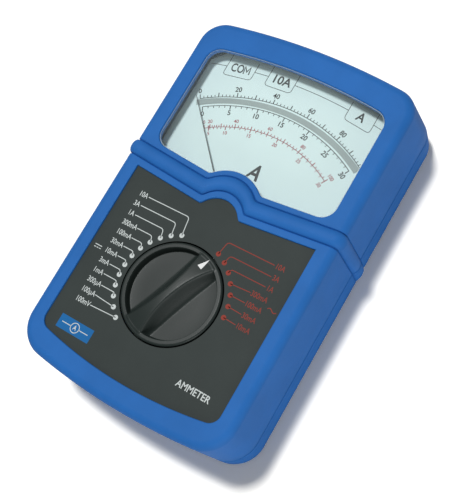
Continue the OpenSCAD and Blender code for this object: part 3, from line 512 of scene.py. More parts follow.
def mouldedPlastic(name, color, roughness=0.5, grain=1500.0, depth=0.00002, tint=0.06, specular=0.5):
    # cloudy tint over a fine grain
    mat, tree, bsdf = shader(name, color, roughness, specular)
    low, high = [c * (1 - tint) for c in color], [c * (1 + tint) for c in color]
    addTint(tree, bsdf, addNoise(tree, 60.0, 3.0), low, high)
    fine = addNoise(tree, grain, 2.0)
    addSpread(tree, bsdf, fine, roughness - 0.06, roughness + 0.06)
    addBump(tree, bsdf, fine, 0.35, depth)
    return mat


def plainMetal(name, color, roughness=0.3):
    mat, tree, bsdf = shader(name, color, roughness, Metallic=1.0)
    fine = addNoise(tree, 900.0, 2.0)
    addSpread(tree, bsdf, fine, roughness - 0.08, roughness + 0.08)
    addTint(tree, bsdf, fine, [c * 0.88 for c in color], [min(1, c * 1.06) for c in color])
    return mat


paint = {name: mouldedPlastic(name, **look) for name, look in plastics.items()}
for inkName, ink in inks.items():
    paint[inkName] = mouldedPlastic(inkName, ink, 0.55, 2600.0, 0.000003, 0.05, 0.15)
for metalName, look in metals.items():
    paint[metalName] = plainMetal(metalName, **look)
paint["clear"] = shader("windowClear", (0.80, 0.93, 0.92), 0.03, Alpha=0.05)[0]
# pale, half clear paint for the pane's bevel: a painted highlight along its edge
paint["clearEdge"] = shader("windowEdgeHighlight", (0.80, 0.93, 0.93), 0.25, Alpha=0.5)[0]

slotOf = {row["node"]: row["material_slot"] for row in record["subparts"]}
for node, thing in frame["nodes"].items():
    thing.data.materials.clear()
    thing.data.materials.append(paint[slotPaint[slotOf[node]]])
print("materials ready")

# front shell, with its window, the switch panel's pocket, the knob's cup and the socket bores
opening = {"halfWidth": 42.0, "end": windowHigh.y - 2.2, "bow": 245.0, "corner": 6.5, "border": 2.6,
           "fillet": 0.5}
pocket = {"halfWidth": 42.7, "end": -panelLow.y, "bow": 200.0, "corner": 5.0, "border": 3.2,
          "fillet": 0.45, "floor": panelLow.z}
knobCup = {"radius": 21.6, "outside": 23.4, "floor": 36.4, "under": 34.6, "bore": 4.55, "sleeve": 7.5,
           "low": 32.2}
sockets = {"across": (-28.575, -9.525, 28.575), "height": 23.0, "bore": 6.05, "from": 74.0, "to": 90.0}
ringPoints = len(tailRun(0.0, 0.0))


def paneRun(part, d):
    return bowedEnd(part["halfWidth"], part["end"], part["bow"], part["corner"], d, 12)


def windowLoop(d, z):
    # the window's outline moved outwards by d: its foot follows the belt
    r, tilt = opening["corner"], atan(belt["slope"])
    cx = opening["halfWidth"] - r
    footY = beltLine(cx + r * sin(tilt), -opening["border"]) + r * cos(tilt)
    turns = [tilt + (pi / 2 - tilt) * i / 12 for i in range(13)]
    foot = [(cx + (r + d) * sin(a), footY - (r + d) * cos(a)) for a in turns]
    low = [(x, beltLine(x, d - opening["border"])) for x in faceColumns(belt["radius"] + 8, 2.0)]
    loop = [(-x, y) for x, y in reversed(foot)] + low + foot + paneRun(opening, d)
    return [(x, y, z) for x, y in loop]


def pocketLoop(d, z):
    # the pocket's outline moved outwards by d: its top follows the belt
    reach = pocket["halfWidth"] + d
    across = [-reach] + faceColumns(belt["radius"] + 8, 2.0) + [reach]
    top = [(x, beltLine(x, belt["width"] + pocket["border"] - d)) for x in reversed(across)]
    return [(x, y, z) for x, y in [(-x, -y) for x, y in paneRun(pocket, d)] + top]


def roundedMouth(bag, loop, fillet, depth):
    # rings from the face over a rounded edge and down to depth
    levels = [(fillet + case["lip"], case["face"])]
    for a in quarter(6):
        levels.append((fillet * (1 - sin(a)), case["face"] - fillet * (1 - cos(a))))
    rings = [addPoints(bag, loop(d, z)) for d, z in levels + [(0, depth)]]
    bridgeAll(bag, rings)
    return rings


def socketBores():
    # rods through the head wall, to be cut out of it
    bores = newBag()
    turns = [2 * pi * i / 64 for i in range(64)]
    r, height = sockets["bore"], sockets["height"]
    for x in sockets["across"]:
        ring = [(x + r * sin(a), height + r * cos(a)) for a in turns]
        addBar(bores, *[[(px, y, pz) for px, pz in ring] for y in (sockets["from"], sockets["to"])])
    return bores


def makeFrontShell():
    bag = newBag()
    base, face, edge, lip = case["parting"], case["face"], case["frontEdge"], case["lip"]
    levels = [(d, base + h) for d, h in case["seam"]] + [(0, z) for z in case["frontLevels"]]
    levels.append((0, face - edge - lip))
    rings = [addPoints(bag, caseRing(d, z)) for d, z in levels]
    for a in quarter(10):
        d, z = edge * (1 - cos(a)), face - edge * (1 - sin(a))
        rings.append(addPoints(bag, caseRing(d, z, cos(a), sin(a))))
    rings.append(addPoints(bag, caseRing(edge + lip, face, 0.0, 1.0)))
    bridgeAll(bag, rings)
    # the belt across the face, between the two stretches of it in the last ring
    top, rows = rings[-1], len(beltRows)
    bottomRun = top[ringPoints + rows:2 * ringPoints + rows]
    columns = [top[ringPoints:ringPoints + rows]]
    for x in faceColumns(halfWidth(face) - edge - lip)[1:-1]:
        columns.append(addPoints(bag, [(x, beltLine(x, v), face + beltHeight(v)) for v in beltRows]))
    columns.append(list(reversed(top[2 * ringPoints + rows:])))
    for a, b in zip(columns, columns[1:]):
        bridge(bag, list(reversed(a)), list(reversed(b)), closed=False)
    windowRings = roundedMouth(bag, windowLoop, opening["fillet"], case["roof"])
    pocketRings = roundedMouth(bag, pocketLoop, pocket["fillet"], pocket["floor"])
    fillFlat(bag, top[:ringPoints] + [c[0] for c in columns], [windowRings[0]])
    fillFlat(bag, bottomRun + [c[-1] for c in reversed(columns)], [pocketRings[0]])
    # knob cup, from the pocket floor down and back up to the inner face
    cup = knobCup
    mouth = addPoints(bag, circle(0, knobY, pocket["floor"], cup["radius"]))
    fillFlat(bag, pocketRings[-1], [mouth])
    profile = [(cup["radius"], pocket["floor"]),
               (cup["radius"], cup["floor"]), (cup["bore"], cup["floor"]),
               (cup["bore"], cup["low"]), (cup["sleeve"], cup["low"]), (cup["sleeve"], cup["under"]),
               (cup["outside"], cup["under"]), (cup["outside"], case["roof"])]
    cupRings = lathe(bag, 0, knobY, profile, first=mouth)
    inner = [addPoints(bag, plainRing(case["wall"], z)) for z in (base, case["roof"])]
    bridge(bag, inner[1], inner[0])
    fillFlat(bag, inner[1], [windowRings[-1], cupRings[-1]], up=False)
    fillFlat(bag, rings[0], [inner[0]], up=False)
    piece = makePiece("frontShell", bag, "case", "caseBlue", cutter=socketBores())
    # the cup is painted the panel's dark colour inside: painted shade in the gap around the knob
    piece.data.materials.append(paint["panelDark"])
    for face in piece.data.polygons:
        x, y, z = face.center / mm
        if hypot(x, y - knobY) < cup["outside"] + 0.1 and z < pocket["floor"] + 0.01:
            face.material_index = 1
    return piece


frontShell = makeFrontShell()
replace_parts(frontShell, "front_case")
print("front shell:", len(frontShell.data.polygons), "faces")

# rear shell, with screw bores that run up inside posts, seats for the feet and the adjuster's hole
rear = {
    "screw": {"x": 45.5, "y": 69.0, "bore": 3.1, "chamfer": 0.2, "seat": 7.0, "hole": 1.7, "post": 3.4},
    "foot": {"x": 36, "y": 64, "bore": 4.55, "chamfer": 0.15, "top": 2.0},
    "adjuster": {"y": turnAt["zero_adjust"][1], "bore": 3.55, "chamfer": 0.3},
}


def drill(bag, x, y, part, profile, n):
    # chamfered hole up from the back, then on through the profile
    mouth, back = part["bore"] + part["chamfer"], case["back"]
    return lathe(bag, x, y, [(mouth, back), (part["bore"], back + part["chamfer"]), *profile], n)


def makeRearShell():
    bag = newBag()
    base, back, floor = case["parting"], case["back"], case["floor"]
    edge, lip = case["backEdge"], case["lip"]

    def beltAt(z):
        # share of the belt's height that is left at height z
        low, high = belt["level"]
        return smoothStep((z - low) / (high - low))

    levels = [(d, base - h) for d, h in case["seam"]] + [(0, z) for z in case["rearLevels"]]
    levels.append((0, back + edge + lip))
    rings = [addPoints(bag, caseRing(d, z, grow=beltAt(z))) for d, z in levels]
    for a in quarter(8):
        z = back + edge * (1 - sin(a))
        rings.append(addPoints(bag, caseRing(edge * (1 - cos(a)), z, cos(a), 0.0, beltAt(z))))
    rings.append(addPoints(bag, caseRing(edge + lip, back, 0.0, 0.0, 0.0)))
    for high, low in zip(rings, rings[1:]):
        bridge(bag, low, high)
    inner = [addPoints(bag, plainRing(case["wall"], z)) for z in (base, floor)]
    bridge(bag, inner[0], inner[1])
    fillFlat(bag, rings[0], [inner[0]])
    holes, innerHoles = [], []
    screw, foot, adjuster = rear["screw"], rear["foot"], rear["adjuster"]
    shank = [(screw["bore"], screw["seat"]), (screw["hole"], screw["seat"]), (screw["hole"], base),
             (screw["post"], base), (screw["post"], floor)]
    for sx, sy in ((-1, -1), (-1, 1), (1, -1), (1, 1)):
        bore = drill(bag, sx * screw["x"], sy * screw["y"], screw, shank, 32)
        seat = drill(bag, sx * foot["x"], sy * foot["y"], foot, [(foot["bore"], foot["top"])], 40)
        fillFlat(bag, seat[-1], up=False)
        holes += [bore[0], seat[0]]
        innerHoles.append(bore[-1])
    bore = drill(bag, 0, adjuster["y"], adjuster, [(adjuster["bore"], floor)], 40)
    fillFlat(bag, rings[-1], holes + [bore[0]], up=False)
    fillFlat(bag, inner[1], innerHoles + [bore[-1]])
    return makePiece("rearShell", bag, "case", "caseBlue")


rearShell = makeRearShell()
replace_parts(rearShell, "rear_case")
print("rear shell:", len(rearShell.data.polygons), "faces")

# window pane with a bevel painted pale and half clear as a painted highlight, a flange under the roof and
# the skirt that lines the opening
pane = {
    "flange": 2.2, "thick": 1.4, "gap": 0.02,
    "bevel": ((0.03, 0.42), (0.1, 0.24), (0.22, 0.1), (0.42, 0.0), (0.5, 0.0)),  # inwards, downwards
    "skirt": {"thick": 1.2, "low": 4.0, "gap": 0.03},
}


def makePane():
    bag = newBag()
    top, roof = windowHigh.z, case["roof"]
    flange, thick, skirt = pane["flange"], pane["thick"], pane["skirt"]
    inset = pane["bevel"][0][0]
    levels = [(flange, roof - thick), (flange, roof - pane["gap"]), (-inset, roof - pane["gap"])]
    levels += [(-inwards, top - down) for inwards, down in pane["bevel"]]
    rings = [addPoints(bag, windowLoop(d, z)) for d, z in levels]
    bridgeAll(bag, rings)
    fillFlat(bag, rings[-1])
    fillFlat(bag, rings[0], up=False)
    foot = windowHigh.y / 3
    low, high = roof - skirt["low"], roof - thick - skirt["gap"]
    routes = []
    for d, z in ((0.0, low), (skirt["thick"], low), (skirt["thick"], high), (0.0, high)):
        reach = opening["halfWidth"] + d
        run = [(reach, foot)] + paneRun(opening, d) + [(-reach, foot)]
        routes.append(addPoints(bag, [(x, y, z) for x, y in run]))
    for a, b in zip(routes, routes[1:] + routes[:1]):
        bridge(bag, a, b, closed=False)
    bag["faces"].append(tuple(r[0] for r in reversed(routes)))
    bag["faces"].append(tuple(r[-1] for r in routes))
    piece = makePiece("windowPane", bag, "case", "clear")
    # the bevel is painted paler and less clear than the flat: a painted highlight along the pane's edge
    piece.data.materials.append(paint["clearEdge"])
    for face in piece.data.polygons:
        if face.center.z / mm > top - 1.2 and abs(face.normal.z) < 0.97:
            face.material_index = 1
    return piece


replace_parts(makePane(), "window")

# needle: hub, slender blade, tail and the arms that carry the balance weights
needle = {
    "rest": radians(43.5), "low": dialHigh.z + 1.5, "thick": 0.3, "gap": 0.02,
    "blade": {"root": 0.23, "tip": 0.11, "length": 58.0, "point": 0.1},
    "tail": {"length": 12.0, "half": 0.6, "arm": 5.0, "armLow": 8.0, "armHigh": 7.0},
    "hub": {"radius": 2.4, "bore": 0.92, "below": 0.4, "above": 0.6, "chamfer": 0.1},
}


def makeNeedle():
    bag = newBag()
    c, s = cos(needle["rest"]), sin(needle["rest"])
    low, high = needle["low"], needle["low"] + needle["thick"]

    def slab(outline):
        flat = [(x * c - y * s, pivotY + x * s + y * c) for x, y in outline]
        addBar(bag, *[[(x, y, z) for x, y in flat] for z in (low, high)])

    blade, tail, hub, gap = needle["blade"], needle["tail"], needle["hub"], needle["gap"]
    start, end = hub["radius"] + gap, blade["length"]
    root, tip, shoulder = blade["root"], blade["tip"], blade["length"] - blade["point"]
    slab([(-root, start), (root, start), (tip, shoulder), (0, end), (-tip, shoulder)])
    half = tail["half"]
    slab([(-half, -tail["length"]), (half, -tail["length"]), (half, -start), (-half, -start)])
    for sx in (-1, 1):
        x0, x1 = sorted((sx * (half + gap), sx * tail["arm"]))
        y0, y1 = -tail["armLow"], -tail["armHigh"]
        slab([(x0, y0), (x1, y0), (x1, y1), (x0, y1)])
    radius, bore, chamfer = hub["radius"], hub["bore"], hub["chamfer"]
    hubLow, hubHigh = low - hub["below"], low + hub["above"]
    first = addPoints(bag, circle(0, pivotY, hubLow, bore, 40))
    profile = [(bore, hubLow), (radius, hubLow), (radius, hubHigh - chamfer), (radius - chamfer, hubHigh),
               (bore, hubHigh), (bore, hubLow)]
    lathe(bag, 0, pivotY, profile, 40, first, first)
    return makePiece("needle", bag, "pointer", "pointerBlack")


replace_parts(makeNeedle(), "pointer")
print("pane and needle ready")

# selector knob: a dished cap with a waisted grip across it; heights are those of the whole meter
knob = {
    "turn": radians(21.6),
    "radius": 21.0, "round": 0.9, "rim": 42.3, "back": 36.9, "chamfer": 0.3,
    "lip": 18.95, "foot": 18.0, "floor": 38.7, "dish": 1.0,
    "crest": 45.1, "reach": 19.6, "waist": 1.7, "end": 5.0, "flare": 2.2, "crown": 0.12,
    "skirt": 7.2, "skirtWaist": 0.6, "fall": 1.7, "soft": 0.006, "blend": 0.55, "fade": 0.8,
    "shaft": ((1.22, 35.9), (1.22, 28.9), (3.4, 28.9), (3.4, 31.7), (4.5, 31.7), (4.5, 36.9)),
    "around": 288,
    "arrow": {"tip": 20.0, "base": 15.1, "half": 1.2, "proud": 0.05, "rows": 24, "columns": 12},
}
knob["edge"] = knob["radius"] - knob["round"]


def dishHeight(r):
    # rounded rim, then a fall from the lip to a shallow bowl
    over = r - knob["edge"]
    if over > 0:
        return knob["rim"] - knob["round"] + sqrt(max(knob["round"] ** 2 - over * over, 0))
    rise = smoothStep((r - knob["foot"]) / (knob["lip"] - knob["foot"]))
    floor = knob["floor"] - knob["dish"] * max(1 - (r / knob["foot"]) ** 2, 0)
    return floor + (knob["rim"] - floor) * rise


def gripHeight(u, v):
    # u across the grip, v along it: a crest that drops towards its ends, with flanks down to the dish
    t = min(abs(v) / knob["reach"], 1.08)
    crest = knob["crest"] - (knob["crest"] - knob["rim"]) * t * t
    top = knob["waist"] + (knob["end"] - knob["waist"]) * t ** knob["flare"]
    skirt = knob["skirt"] - knob["skirtWaist"] * (1 - t * t)
    s = (abs(u) - top) / (skirt - top)
    soft = knob["soft"]
    s = 0.5 * (s + sqrt(s * s + soft)) - 0.5 * (sqrt(soft + 1) - 1) * max(0, s)
    fall = 1 - (1 - min(s, 1)) ** knob["fall"]
    crown = knob["crown"] * (1 - min(abs(u) / top, 1) ** 2) * (1 - t)
    return crest - (crest - knob["floor"]) * fall - crown


def knobHeight(u, v):
    dish, inwards = dishHeight(hypot(u, v)), knob["edge"] - hypot(u, v)
    if inwards < 0:
        return dish
    lift = min(blendMax(dish, gripHeight(u, v), knob["blend"]), knob["crest"])
    return dish + (lift - dish) * smoothStep(inwards / knob["fade"])


def knobSpot(u, v):
    # place on the meter of a spot on the turned knob
    c, s = cos(knob["turn"]), sin(knob["turn"])
    return u * c + v * s, knobY - u * s + v * c


def makeKnob():
    bag = newBag()
    n, radius, soft = knob["around"], knob["radius"], knob["round"]
    profile = [*knob["shaft"], (radius - knob["chamfer"], knob["back"]),
               (radius, knob["back"] + knob["chamfer"]), (radius, knob["rim"] - soft)]
    rings = lathe(bag, 0, knobY, profile, n)
    bag["faces"].append(tuple(reversed(rings[0])))
    # rings over the rim, close together where the dish falls, then even ones to the middle
    radii = [knob["edge"] + soft * sin(radians(a)) for a in (75, 60, 45, 30, 15, 0)]
    radii += [20.0, 19.8, 19.6, 19.4, 19.2, 19.05] + [knob["lip"] - 0.1 * i for i in range(11)]
    radii += [17.7, 17.4] + [17.0 - 0.34 * i for i in range(50)]
    last = rings[-1]
    c, s = cos(knob["turn"]), sin(knob["turn"])
    for r in radii:
        ring = addPoints(bag, [(x, knobY + y, knobHeight(x * c - y * s, x * s + y * c))
                               for x, y, z in circle(0, 0, 0, r, n)])
        bridge(bag, last, ring)
        last = ring
    middle = addPoints(bag, [(0, knobY, knobHeight(0, 0))])[0]
    bag["faces"] += [(last[i], last[(i + 1) % n], middle) for i in range(n)]
    return makePiece("knobCap", bag, "knob", "knobDark", 50.0)


def makeKnobArrow():
    # painted triangle that follows the grip's end
    bag, arrow = newBag(), knob["arrow"]
    columns = arrow["columns"]
    last = None
    for i in range(arrow["rows"] + 1):
        t = i / arrow["rows"]
        v = arrow["base"] + (arrow["tip"] - arrow["base"]) * t
        half = max(arrow["half"] * (1 - t), 0.01)
        across = [half * (2 * k / columns - 1) for k in range(columns + 1)]
        row = addPoints(bag, [(*knobSpot(u, v), knobHeight(u, v) + arrow["proud"]) for u in across])
        if last:
            bridge(bag, last, row, closed=False)
        last = row
    return makePiece("knobArrow", bag, "knob", "inkArrow", merge=0.0005)


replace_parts(makeKnob(), "selector_knob")
makeKnobArrow()
print("knob ready")


# printing on the dial and the panel, as thin flat pieces
def flatMesh(thing):
    # plain mesh of an object with its modifiers, and the object removed
    graph = bpy.context.evaluated_depsgraph_get()
    mesh = bpy.data.meshes.new_from_object(thing.evaluated_get(graph))
    bpy.data.batch_remove([thing, thing.data])
    return mesh


def makePrint(name, bag, coat):
    makePiece(name, bag, "case", coat, merge=0.001)


def addMesh(bag, mesh, place):
    # a flat mesh laid face up, each of its spots moved by place
    start = len(bag["points"])
    bag["points"] += [place(v.co.x, v.co.y) for v in mesh.vertices]
    for face in mesh.polygons:
        corners = [start + k for k in face.vertices]
        bag["faces"].append(tuple(corners if face.normal.z > 0 else reversed(corners)))
    bpy.data.meshes.remove(mesh)


def addLetters(bag, words, x, y, z, height, turn=0.0, squeeze=0.82, slant=0.0, weight=0.012,
               align="CENTER"):
    # words with their capitals' height in mm, squeezed, slanted and turned about their anchor
    data = bpy.data.curves.new("letters", "FONT")
    data.body = words
    data.size = height * 1.37
    data.align_x = align
    data.align_y = "CENTER"
    data.offset = weight * height
    data.resolution_u = 4
    thing = newObject("letters", data)
    c, s = cos(turn), sin(turn)

    def place(px, py):
        px = (px + slant * py) * squeeze
        return x + c * px - s * py, y + s * px + c * py, z

    addMesh(bag, flatMesh(thing), place)


def addStroke(bag, route, z, width, closed=False):
    # flat line of even width through points in the plane
    n = len(route)
    left, right = [], []
    for i, (x, y) in enumerate(route):
        before = route[(i - 1) % n] if closed or i > 0 else (x, y)
        after = route[(i + 1) % n] if closed or i < n - 1 else (x, y)
        ux, uy = x - before[0], y - before[1]
        vx, vy = after[0] - x, after[1] - y
        lu, lv = hypot(ux, uy) or 1, hypot(vx, vy) or 1
        tx, ty = ux / lu + vx / lv, uy / lu + vy / lv
        t = hypot(tx, ty) or 1
        nx, ny = -ty / t, tx / t
        bend = max(0.5, abs(nx * -uy / lu + ny * ux / lu)) if i > 0 or closed else 1
        h = width / 2 / bend
        left.append((x + nx * h, y + ny * h, z))
        right.append((x - nx * h, y - ny * h, z))
    bridge(bag, addPoints(bag, right), addPoints(bag, left), closed)


def roundCorners(corners, r, steps=5):
    # open route with its inner corners rounded
    route = [corners[0]]
    for a, b, c in zip(corners, corners[1:], corners[2:]):
        b = Vector(b)
        u, w = Vector(a) - b, Vector(c) - b
        reach = min(r, 0.45 * u.length, 0.45 * w.length)
        p, q = b + u.normalized() * reach, b + w.normalized() * reach
        for i in range(steps + 1):
            t = i / steps
            route.append(tuple(p * (1 - t) ** 2 + b * 2 * t * (1 - t) + q * t * t))
    return route + [corners[-1]]


def makeMarksTree():
    # bars set across an arc at even steps: one tree for all scales
    tree = bpy.data.node_groups.new("marksOnArc", "GeometryNodeTree")
    sizes = {"Count": 11, "Radius": 70.0, "Start": 0.0, "Sweep": 1.0, "Width": 0.3, "Length": 2.0,
             "Side": 1.0}
    for name, value in sizes.items():
        kind = "NodeSocketInt" if name == "Count" else "NodeSocketFloat"
        tree.interface.new_socket(name=name, in_out="INPUT", socket_type=kind).default_value = value
    tree.interface.new_socket(name="Ink", in_out="INPUT", socket_type="NodeSocketMaterial")
    tree.interface.new_socket(name="Geometry", in_out="OUTPUT", socket_type="NodeSocketGeometry")
    start = newNode(tree, "NodeGroupInput", {}).outputs
    arc = newNode(tree, "GeometryNodeCurveArc", {
        "Resolution": start["Count"], "Radius": start["Radius"], "Start Angle": start["Start"],
        "Sweep Angle": start["Sweep"]}, mode="RADIUS")
    bar = newNode(tree, "GeometryNodeMeshGrid", {
        "Vertices X": 2, "Vertices Y": 2, "Size X": start["Length"], "Size Y": start["Width"]})
    way = newNode(tree, "ShaderNodeMath", {0: start["Length"], 1: start["Side"]}, operation="MULTIPLY")
    half = newNode(tree, "ShaderNodeMath", {0: way.outputs[0], 1: 0.5}, operation="MULTIPLY")
    offset = newNode(tree, "ShaderNodeCombineXYZ", {"X": half.outputs[0]})
    shift = newNode(tree, "GeometryNodeTransform", {
        "Geometry": bar.outputs["Mesh"], "Translation": offset.outputs[0]})
    place = newNode(tree, "GeometryNodeInputPosition", {})
    aim = newNode(tree, "FunctionNodeAlignEulerToVector", {"Vector": place.outputs[0]}, axis="X")
    spread = newNode(tree, "GeometryNodeInstanceOnPoints", {
        "Points": arc.outputs["Curve"], "Instance": shift.outputs[0], "Rotation": aim.outputs[0]})
    real = newNode(tree, "GeometryNodeRealizeInstances", {0: spread.outputs[0]})
    coat = newNode(tree, "GeometryNodeSetMaterial", {
        "Geometry": real.outputs[0], "Material": start["Ink"]})
    newNode(tree, "NodeGroupOutput", {"Geometry": coat.outputs[0]})
    return tree


marksTree = makeMarksTree()


def addMarks(bag, cy, z, radius, fromDeg, toDeg, count, length, width, side, ink):
    # evenly spaced marks on an arc, from the left end to the right one
    thing = newObject("marks", bpy.data.meshes.new("marks"))
    maker = thing.modifiers.new("marks", "NODES")
    maker.node_group = marksTree
    values = {"Count": count, "Radius": radius, "Start": radians(90 + fromDeg),
              "Sweep": radians(toDeg - fromDeg), "Width": width, "Length": length, "Side": side,
              "Ink": ink}
    for item in marksTree.interface.items_tree:
        if item.item_type == "SOCKET" and item.name in values:
            maker[item.identifier] = values[item.name]
    addMesh(bag, flatMesh(thing), lambda x, y: (x, cy + y, z))


def arcRoute(cy, r, fromDeg, toDeg, steps=90):
    turns = [radians(fromDeg + (toDeg - fromDeg) * i / steps) for i in range(steps + 1)]
    return [(-r * sin(a), cy + r * cos(a)) for a in turns]


# dial: two black scales on one centre with the mirror between them, a crowded red scale, the lead boxes
dial = {
    "z": dialHigh.z + 0.03,
    "centre": pivotY - 21.7,  # y of the black scales' centre
    "outer": {"radius": 74.1, "left": 31.1, "right": -32.3, "small": 1.05, "long": 2.0, "parts": 50,
              "figures": (0, 20, 40, 60, 80), "full": 100, "away": 3.5},
    "inner": {"radius": 70.0, "left": 30.2, "right": -30.9, "small": 1.0, "long": 1.9, "parts": 30,
              "figures": (0, 5, 10, 15, 20, 25, 30), "full": 30, "away": -3.4},
    "blackInk": {"line": 0.3, "tick": 0.3, "longTick": 0.4, "figure": 2.25, "weight": 0.03},
    "mirror": {"radius": 71.9, "left": 31.8, "right": -32.6, "band": 1.7, "rim": 0.16},
    "border": {"left": 30.6, "right": -31.6, "width": 3.6},
    "red": {"centre": pivotY - 16.7, "radius": 55.5, "left": 31.75, "right": -31.8, "small": 0.95,
            "long": 1.5, "bare": 0.15},
    "redInk": {"line": 0.26, "tick": 0.3, "longTick": 0.36, "figure": 1.6, "weight": 0.02},
    # share of the full reading, share of the red scale's sweep
    "crowding": ((0, 0), (0.1, 0.01), (0.2, 0.041), (0.3, 0.12), (0.4, 0.219), (0.5, 0.335), (0.6, 0.458),
                 (0.7, 0.588), (0.8, 0.718), (0.9, 0.856), (1, 1)),
    "frameLine": {"bow": 200.0, "top": pivotY + 63.0, "width": 0.26, "rise": 6.0, "drop": 4.2,
                  "corner": 1.6},
    # words, left and right side, squeeze of the letters
    "boxes": (("COM", -35.3, -22.3, 0.72), ("10A", -15.7, -3.2, 0.98), ("A", 23.0, 35.4, 0.95)),
    "letter": 4.0,
    "sign": {"x": 1.5, "y": pivotY + 21.7, "height": 7.0},
}


def readingShare(v):
    # share of the red scale's sweep at share v of the full reading
    for (v0, s0), (v1, s1) in zip(dial["crowding"], dial["crowding"][1:]):
        if v <= v1 + 1e-9:
            return s0 + (s1 - s0) * (v - v0) / (v1 - v0)


def addFigures(bag, ink, part, y, marks, reach):
    # upright on the arc, each at its share of the sweep
    for words, share in marks:
        turn = radians(part["left"] + (part["right"] - part["left"]) * share)
        r = part["radius"] + reach
        x, up = -r * sin(turn), r * cos(turn)
        addLetters(bag, words, x, y + up, dial["z"], ink["figure"], turn, 0.96, weight=ink["weight"])


def addBlackScale(bag, part, side):
    ink, cy, z = dial["blackInk"], dial["centre"], dial["z"]
    r, left, right, parts = part["radius"], part["left"], part["right"], part["parts"]
    addStroke(bag, arcRoute(cy, r, left, right), z, ink["line"])
    for step, length, width in ((1, part["small"], ink["tick"]), (5, part["long"], ink["longTick"])):
        addMarks(bag, cy, z, r, left, right, parts // step + 1, length, width, side, paint["inkBlack"])


def addRedScale(bag):
    ink, part, z = dial["redInk"], dial["red"], dial["z"]
    r, left, right, cy = part["radius"], part["left"], part["right"], part["centre"]
    addStroke(bag, arcRoute(cy, r, left, right), z, ink["line"])
    for count, side in ((50, 1), (30, -1)):
        for i in range(count + 1):
            if 0 < i / count < part["bare"]:
                continue
            turn = radians(left + (right - left) * readingShare(i / count))
            long = i % 5 == 0
            reach = side * (part["long"] if long else part["small"])
            ends = [(-(r + k) * sin(turn), cy + (r + k) * cos(turn)) for k in (0, reach)]
            addStroke(bag, ends, z, ink["longTick"] if long else ink["tick"])
    for full, figures, away in ((100, range(0, 101, 20), 2.75), (30, range(5, 31, 5), -2.85)):
        addFigures(bag, ink, part, cy, [(str(v), readingShare(v / full)) for v in figures], away)


def lineY(x):
    # the bowed line that the lead boxes hang from
    line = dial["frameLine"]
    return line["top"] - line["bow"] + sqrt(line["bow"] ** 2 - x * x)


def addComLetters(bag, cx, cy, turn, squeeze):
    # the font's M clogs at this size, so it is drawn with strokes
    c, s, letter = cos(turn), sin(turn), dial["letter"]
    half = letter / 2 - 0.25
    zigzag = ((1.75, -half), (1.75, half), (3.0, -half * 0.3), (4.25, half), (4.25, -half))
    addStroke(bag, [(cx + x * c - y * s, cy + x * s + y * c) for x, y in zigzag], dial["z"], 0.52)
    addLetters(bag, "CO", cx - 1.5 * c, cy - 1.5 * s, dial["z"], letter, turn, squeeze, weight=0.025)


def addLeadBoxes(bag):
    line, z = dial["frameLine"], dial["z"]
    x = -dialHigh.x + 1.0
    for words, left, right, squeeze in dial["boxes"]:
        stretch = [x + (left - x) * i / 12 for i in range(13)]
        addStroke(bag, [(px, lineY(px)) for px in stretch], z, line["width"])
        cx = (left + right) / 2
        top = min(lineY(left), lineY(right)) + line["rise"]
        low = lineY(cx) - line["drop"]
        tilt = (lineY(right) - lineY(left)) / 2
        box = [(left, top), (left, low - tilt), (right, low + tilt), (right, top)]
        addStroke(bag, roundCorners(box, line["corner"]), z, line["width"])
        cy, turn = lineY(cx) - 0.2, atan(2 * tilt / (right - left))
        if words == "COM":
            addComLetters(bag, cx, cy, turn, squeeze)
        else:
            addLetters(bag, words, cx, cy, z, dial["letter"], turn, squeeze, weight=0.03)
        x = right
    addStroke(bag, [(x, lineY(x)), (dialHigh.x - 1, lineY(dialHigh.x - 1))], z, line["width"])


def makeDialPrint():
    black, red, pale, band = newBag(), newBag(), newBag(), newBag()
    z, cy, ink = dial["z"], dial["centre"], dial["blackInk"]
    addBlackScale(black, dial["outer"], 1)
    addBlackScale(black, dial["inner"], -1)
    for part in (dial["outer"], dial["inner"]):
        marks = [(str(v), v / part["full"]) for v in part["figures"]]
        addFigures(black, ink, part, cy, marks, part["away"])
    mirror, border = dial["mirror"], dial["border"]
    middle = arcRoute(cy, mirror["radius"], border["left"], border["right"])
    addStroke(pale, middle, z - 0.01, border["width"])
    for edge in (0, -0.5, 0.5):
        route = arcRoute(cy, mirror["radius"] + edge * mirror["band"], mirror["left"], mirror["right"])
        addStroke(band, route, z + (0.02 if edge else 0.01), mirror["rim"] if edge else mirror["band"])
    addRedScale(red)
    addLeadBoxes(black)
    sign = dial["sign"]
    addLetters(black, "A", sign["x"], sign["y"], z, sign["height"], 0.0, 0.86, 0.2, 0.03)
    makePrint("dialBlackPrint", black, "inkBlack")
    makePrint("dialRedPrint", red, "inkRed")
    makePrint("dialBorderPrint", pale, "dialWhite")
    makePrint("mirrorBand", band, "mirror")


makeDialPrint()
print("dial print ready")

# switch panel: ranges with leader lines to the dots around the knob, the plain plate and the name
panel = {
    "z": panelHigh.z + 0.03,
    "first": radians(21.6), "step": radians(10.8), "dotCircle": 24.06, "dot": 1.05,
    "line": 0.34, "corner": 1.3, "sign": 0.36, "row": 4.5, "letter": 2.35, "squeeze": 0.78, "gap": 0.9,
    "ranges": ("10A", "3A", "1A", "300mA", "100mA", "30mA", "10mA", "3mA", "1mA", "300µA", "100µA",
               "100mV"),
    "direct": {"count": 12, "top": 30.3, "x": -35.3},
    "alternating": {"count": 7, "top": 28.2, "x": 36.0},
    "directSign": {"x": -38.9, "y": knobY + 3.0, "half": 1.7, "apart": 0.55, "step": 1.25, "dash": 0.45},
    "alternatingSign": {"x": 39.4, "y": knobY + 12.2, "half": 2.0, "height": 0.55},
    "plate": {"x": -28.4, "y": knobY - 30.1, "halfX": 8.2, "halfY": 2.9, "ring": 2.0, "wire": 6.6,
              "line": 0.32},
    "name": {"x": 28.3, "y": knobY - 28.2, "height": 2.9},
}
letterShare = {"m": 0.736, "A": 0.624, "V": 0.576, "1": 0.48}  # widths as shares of the height


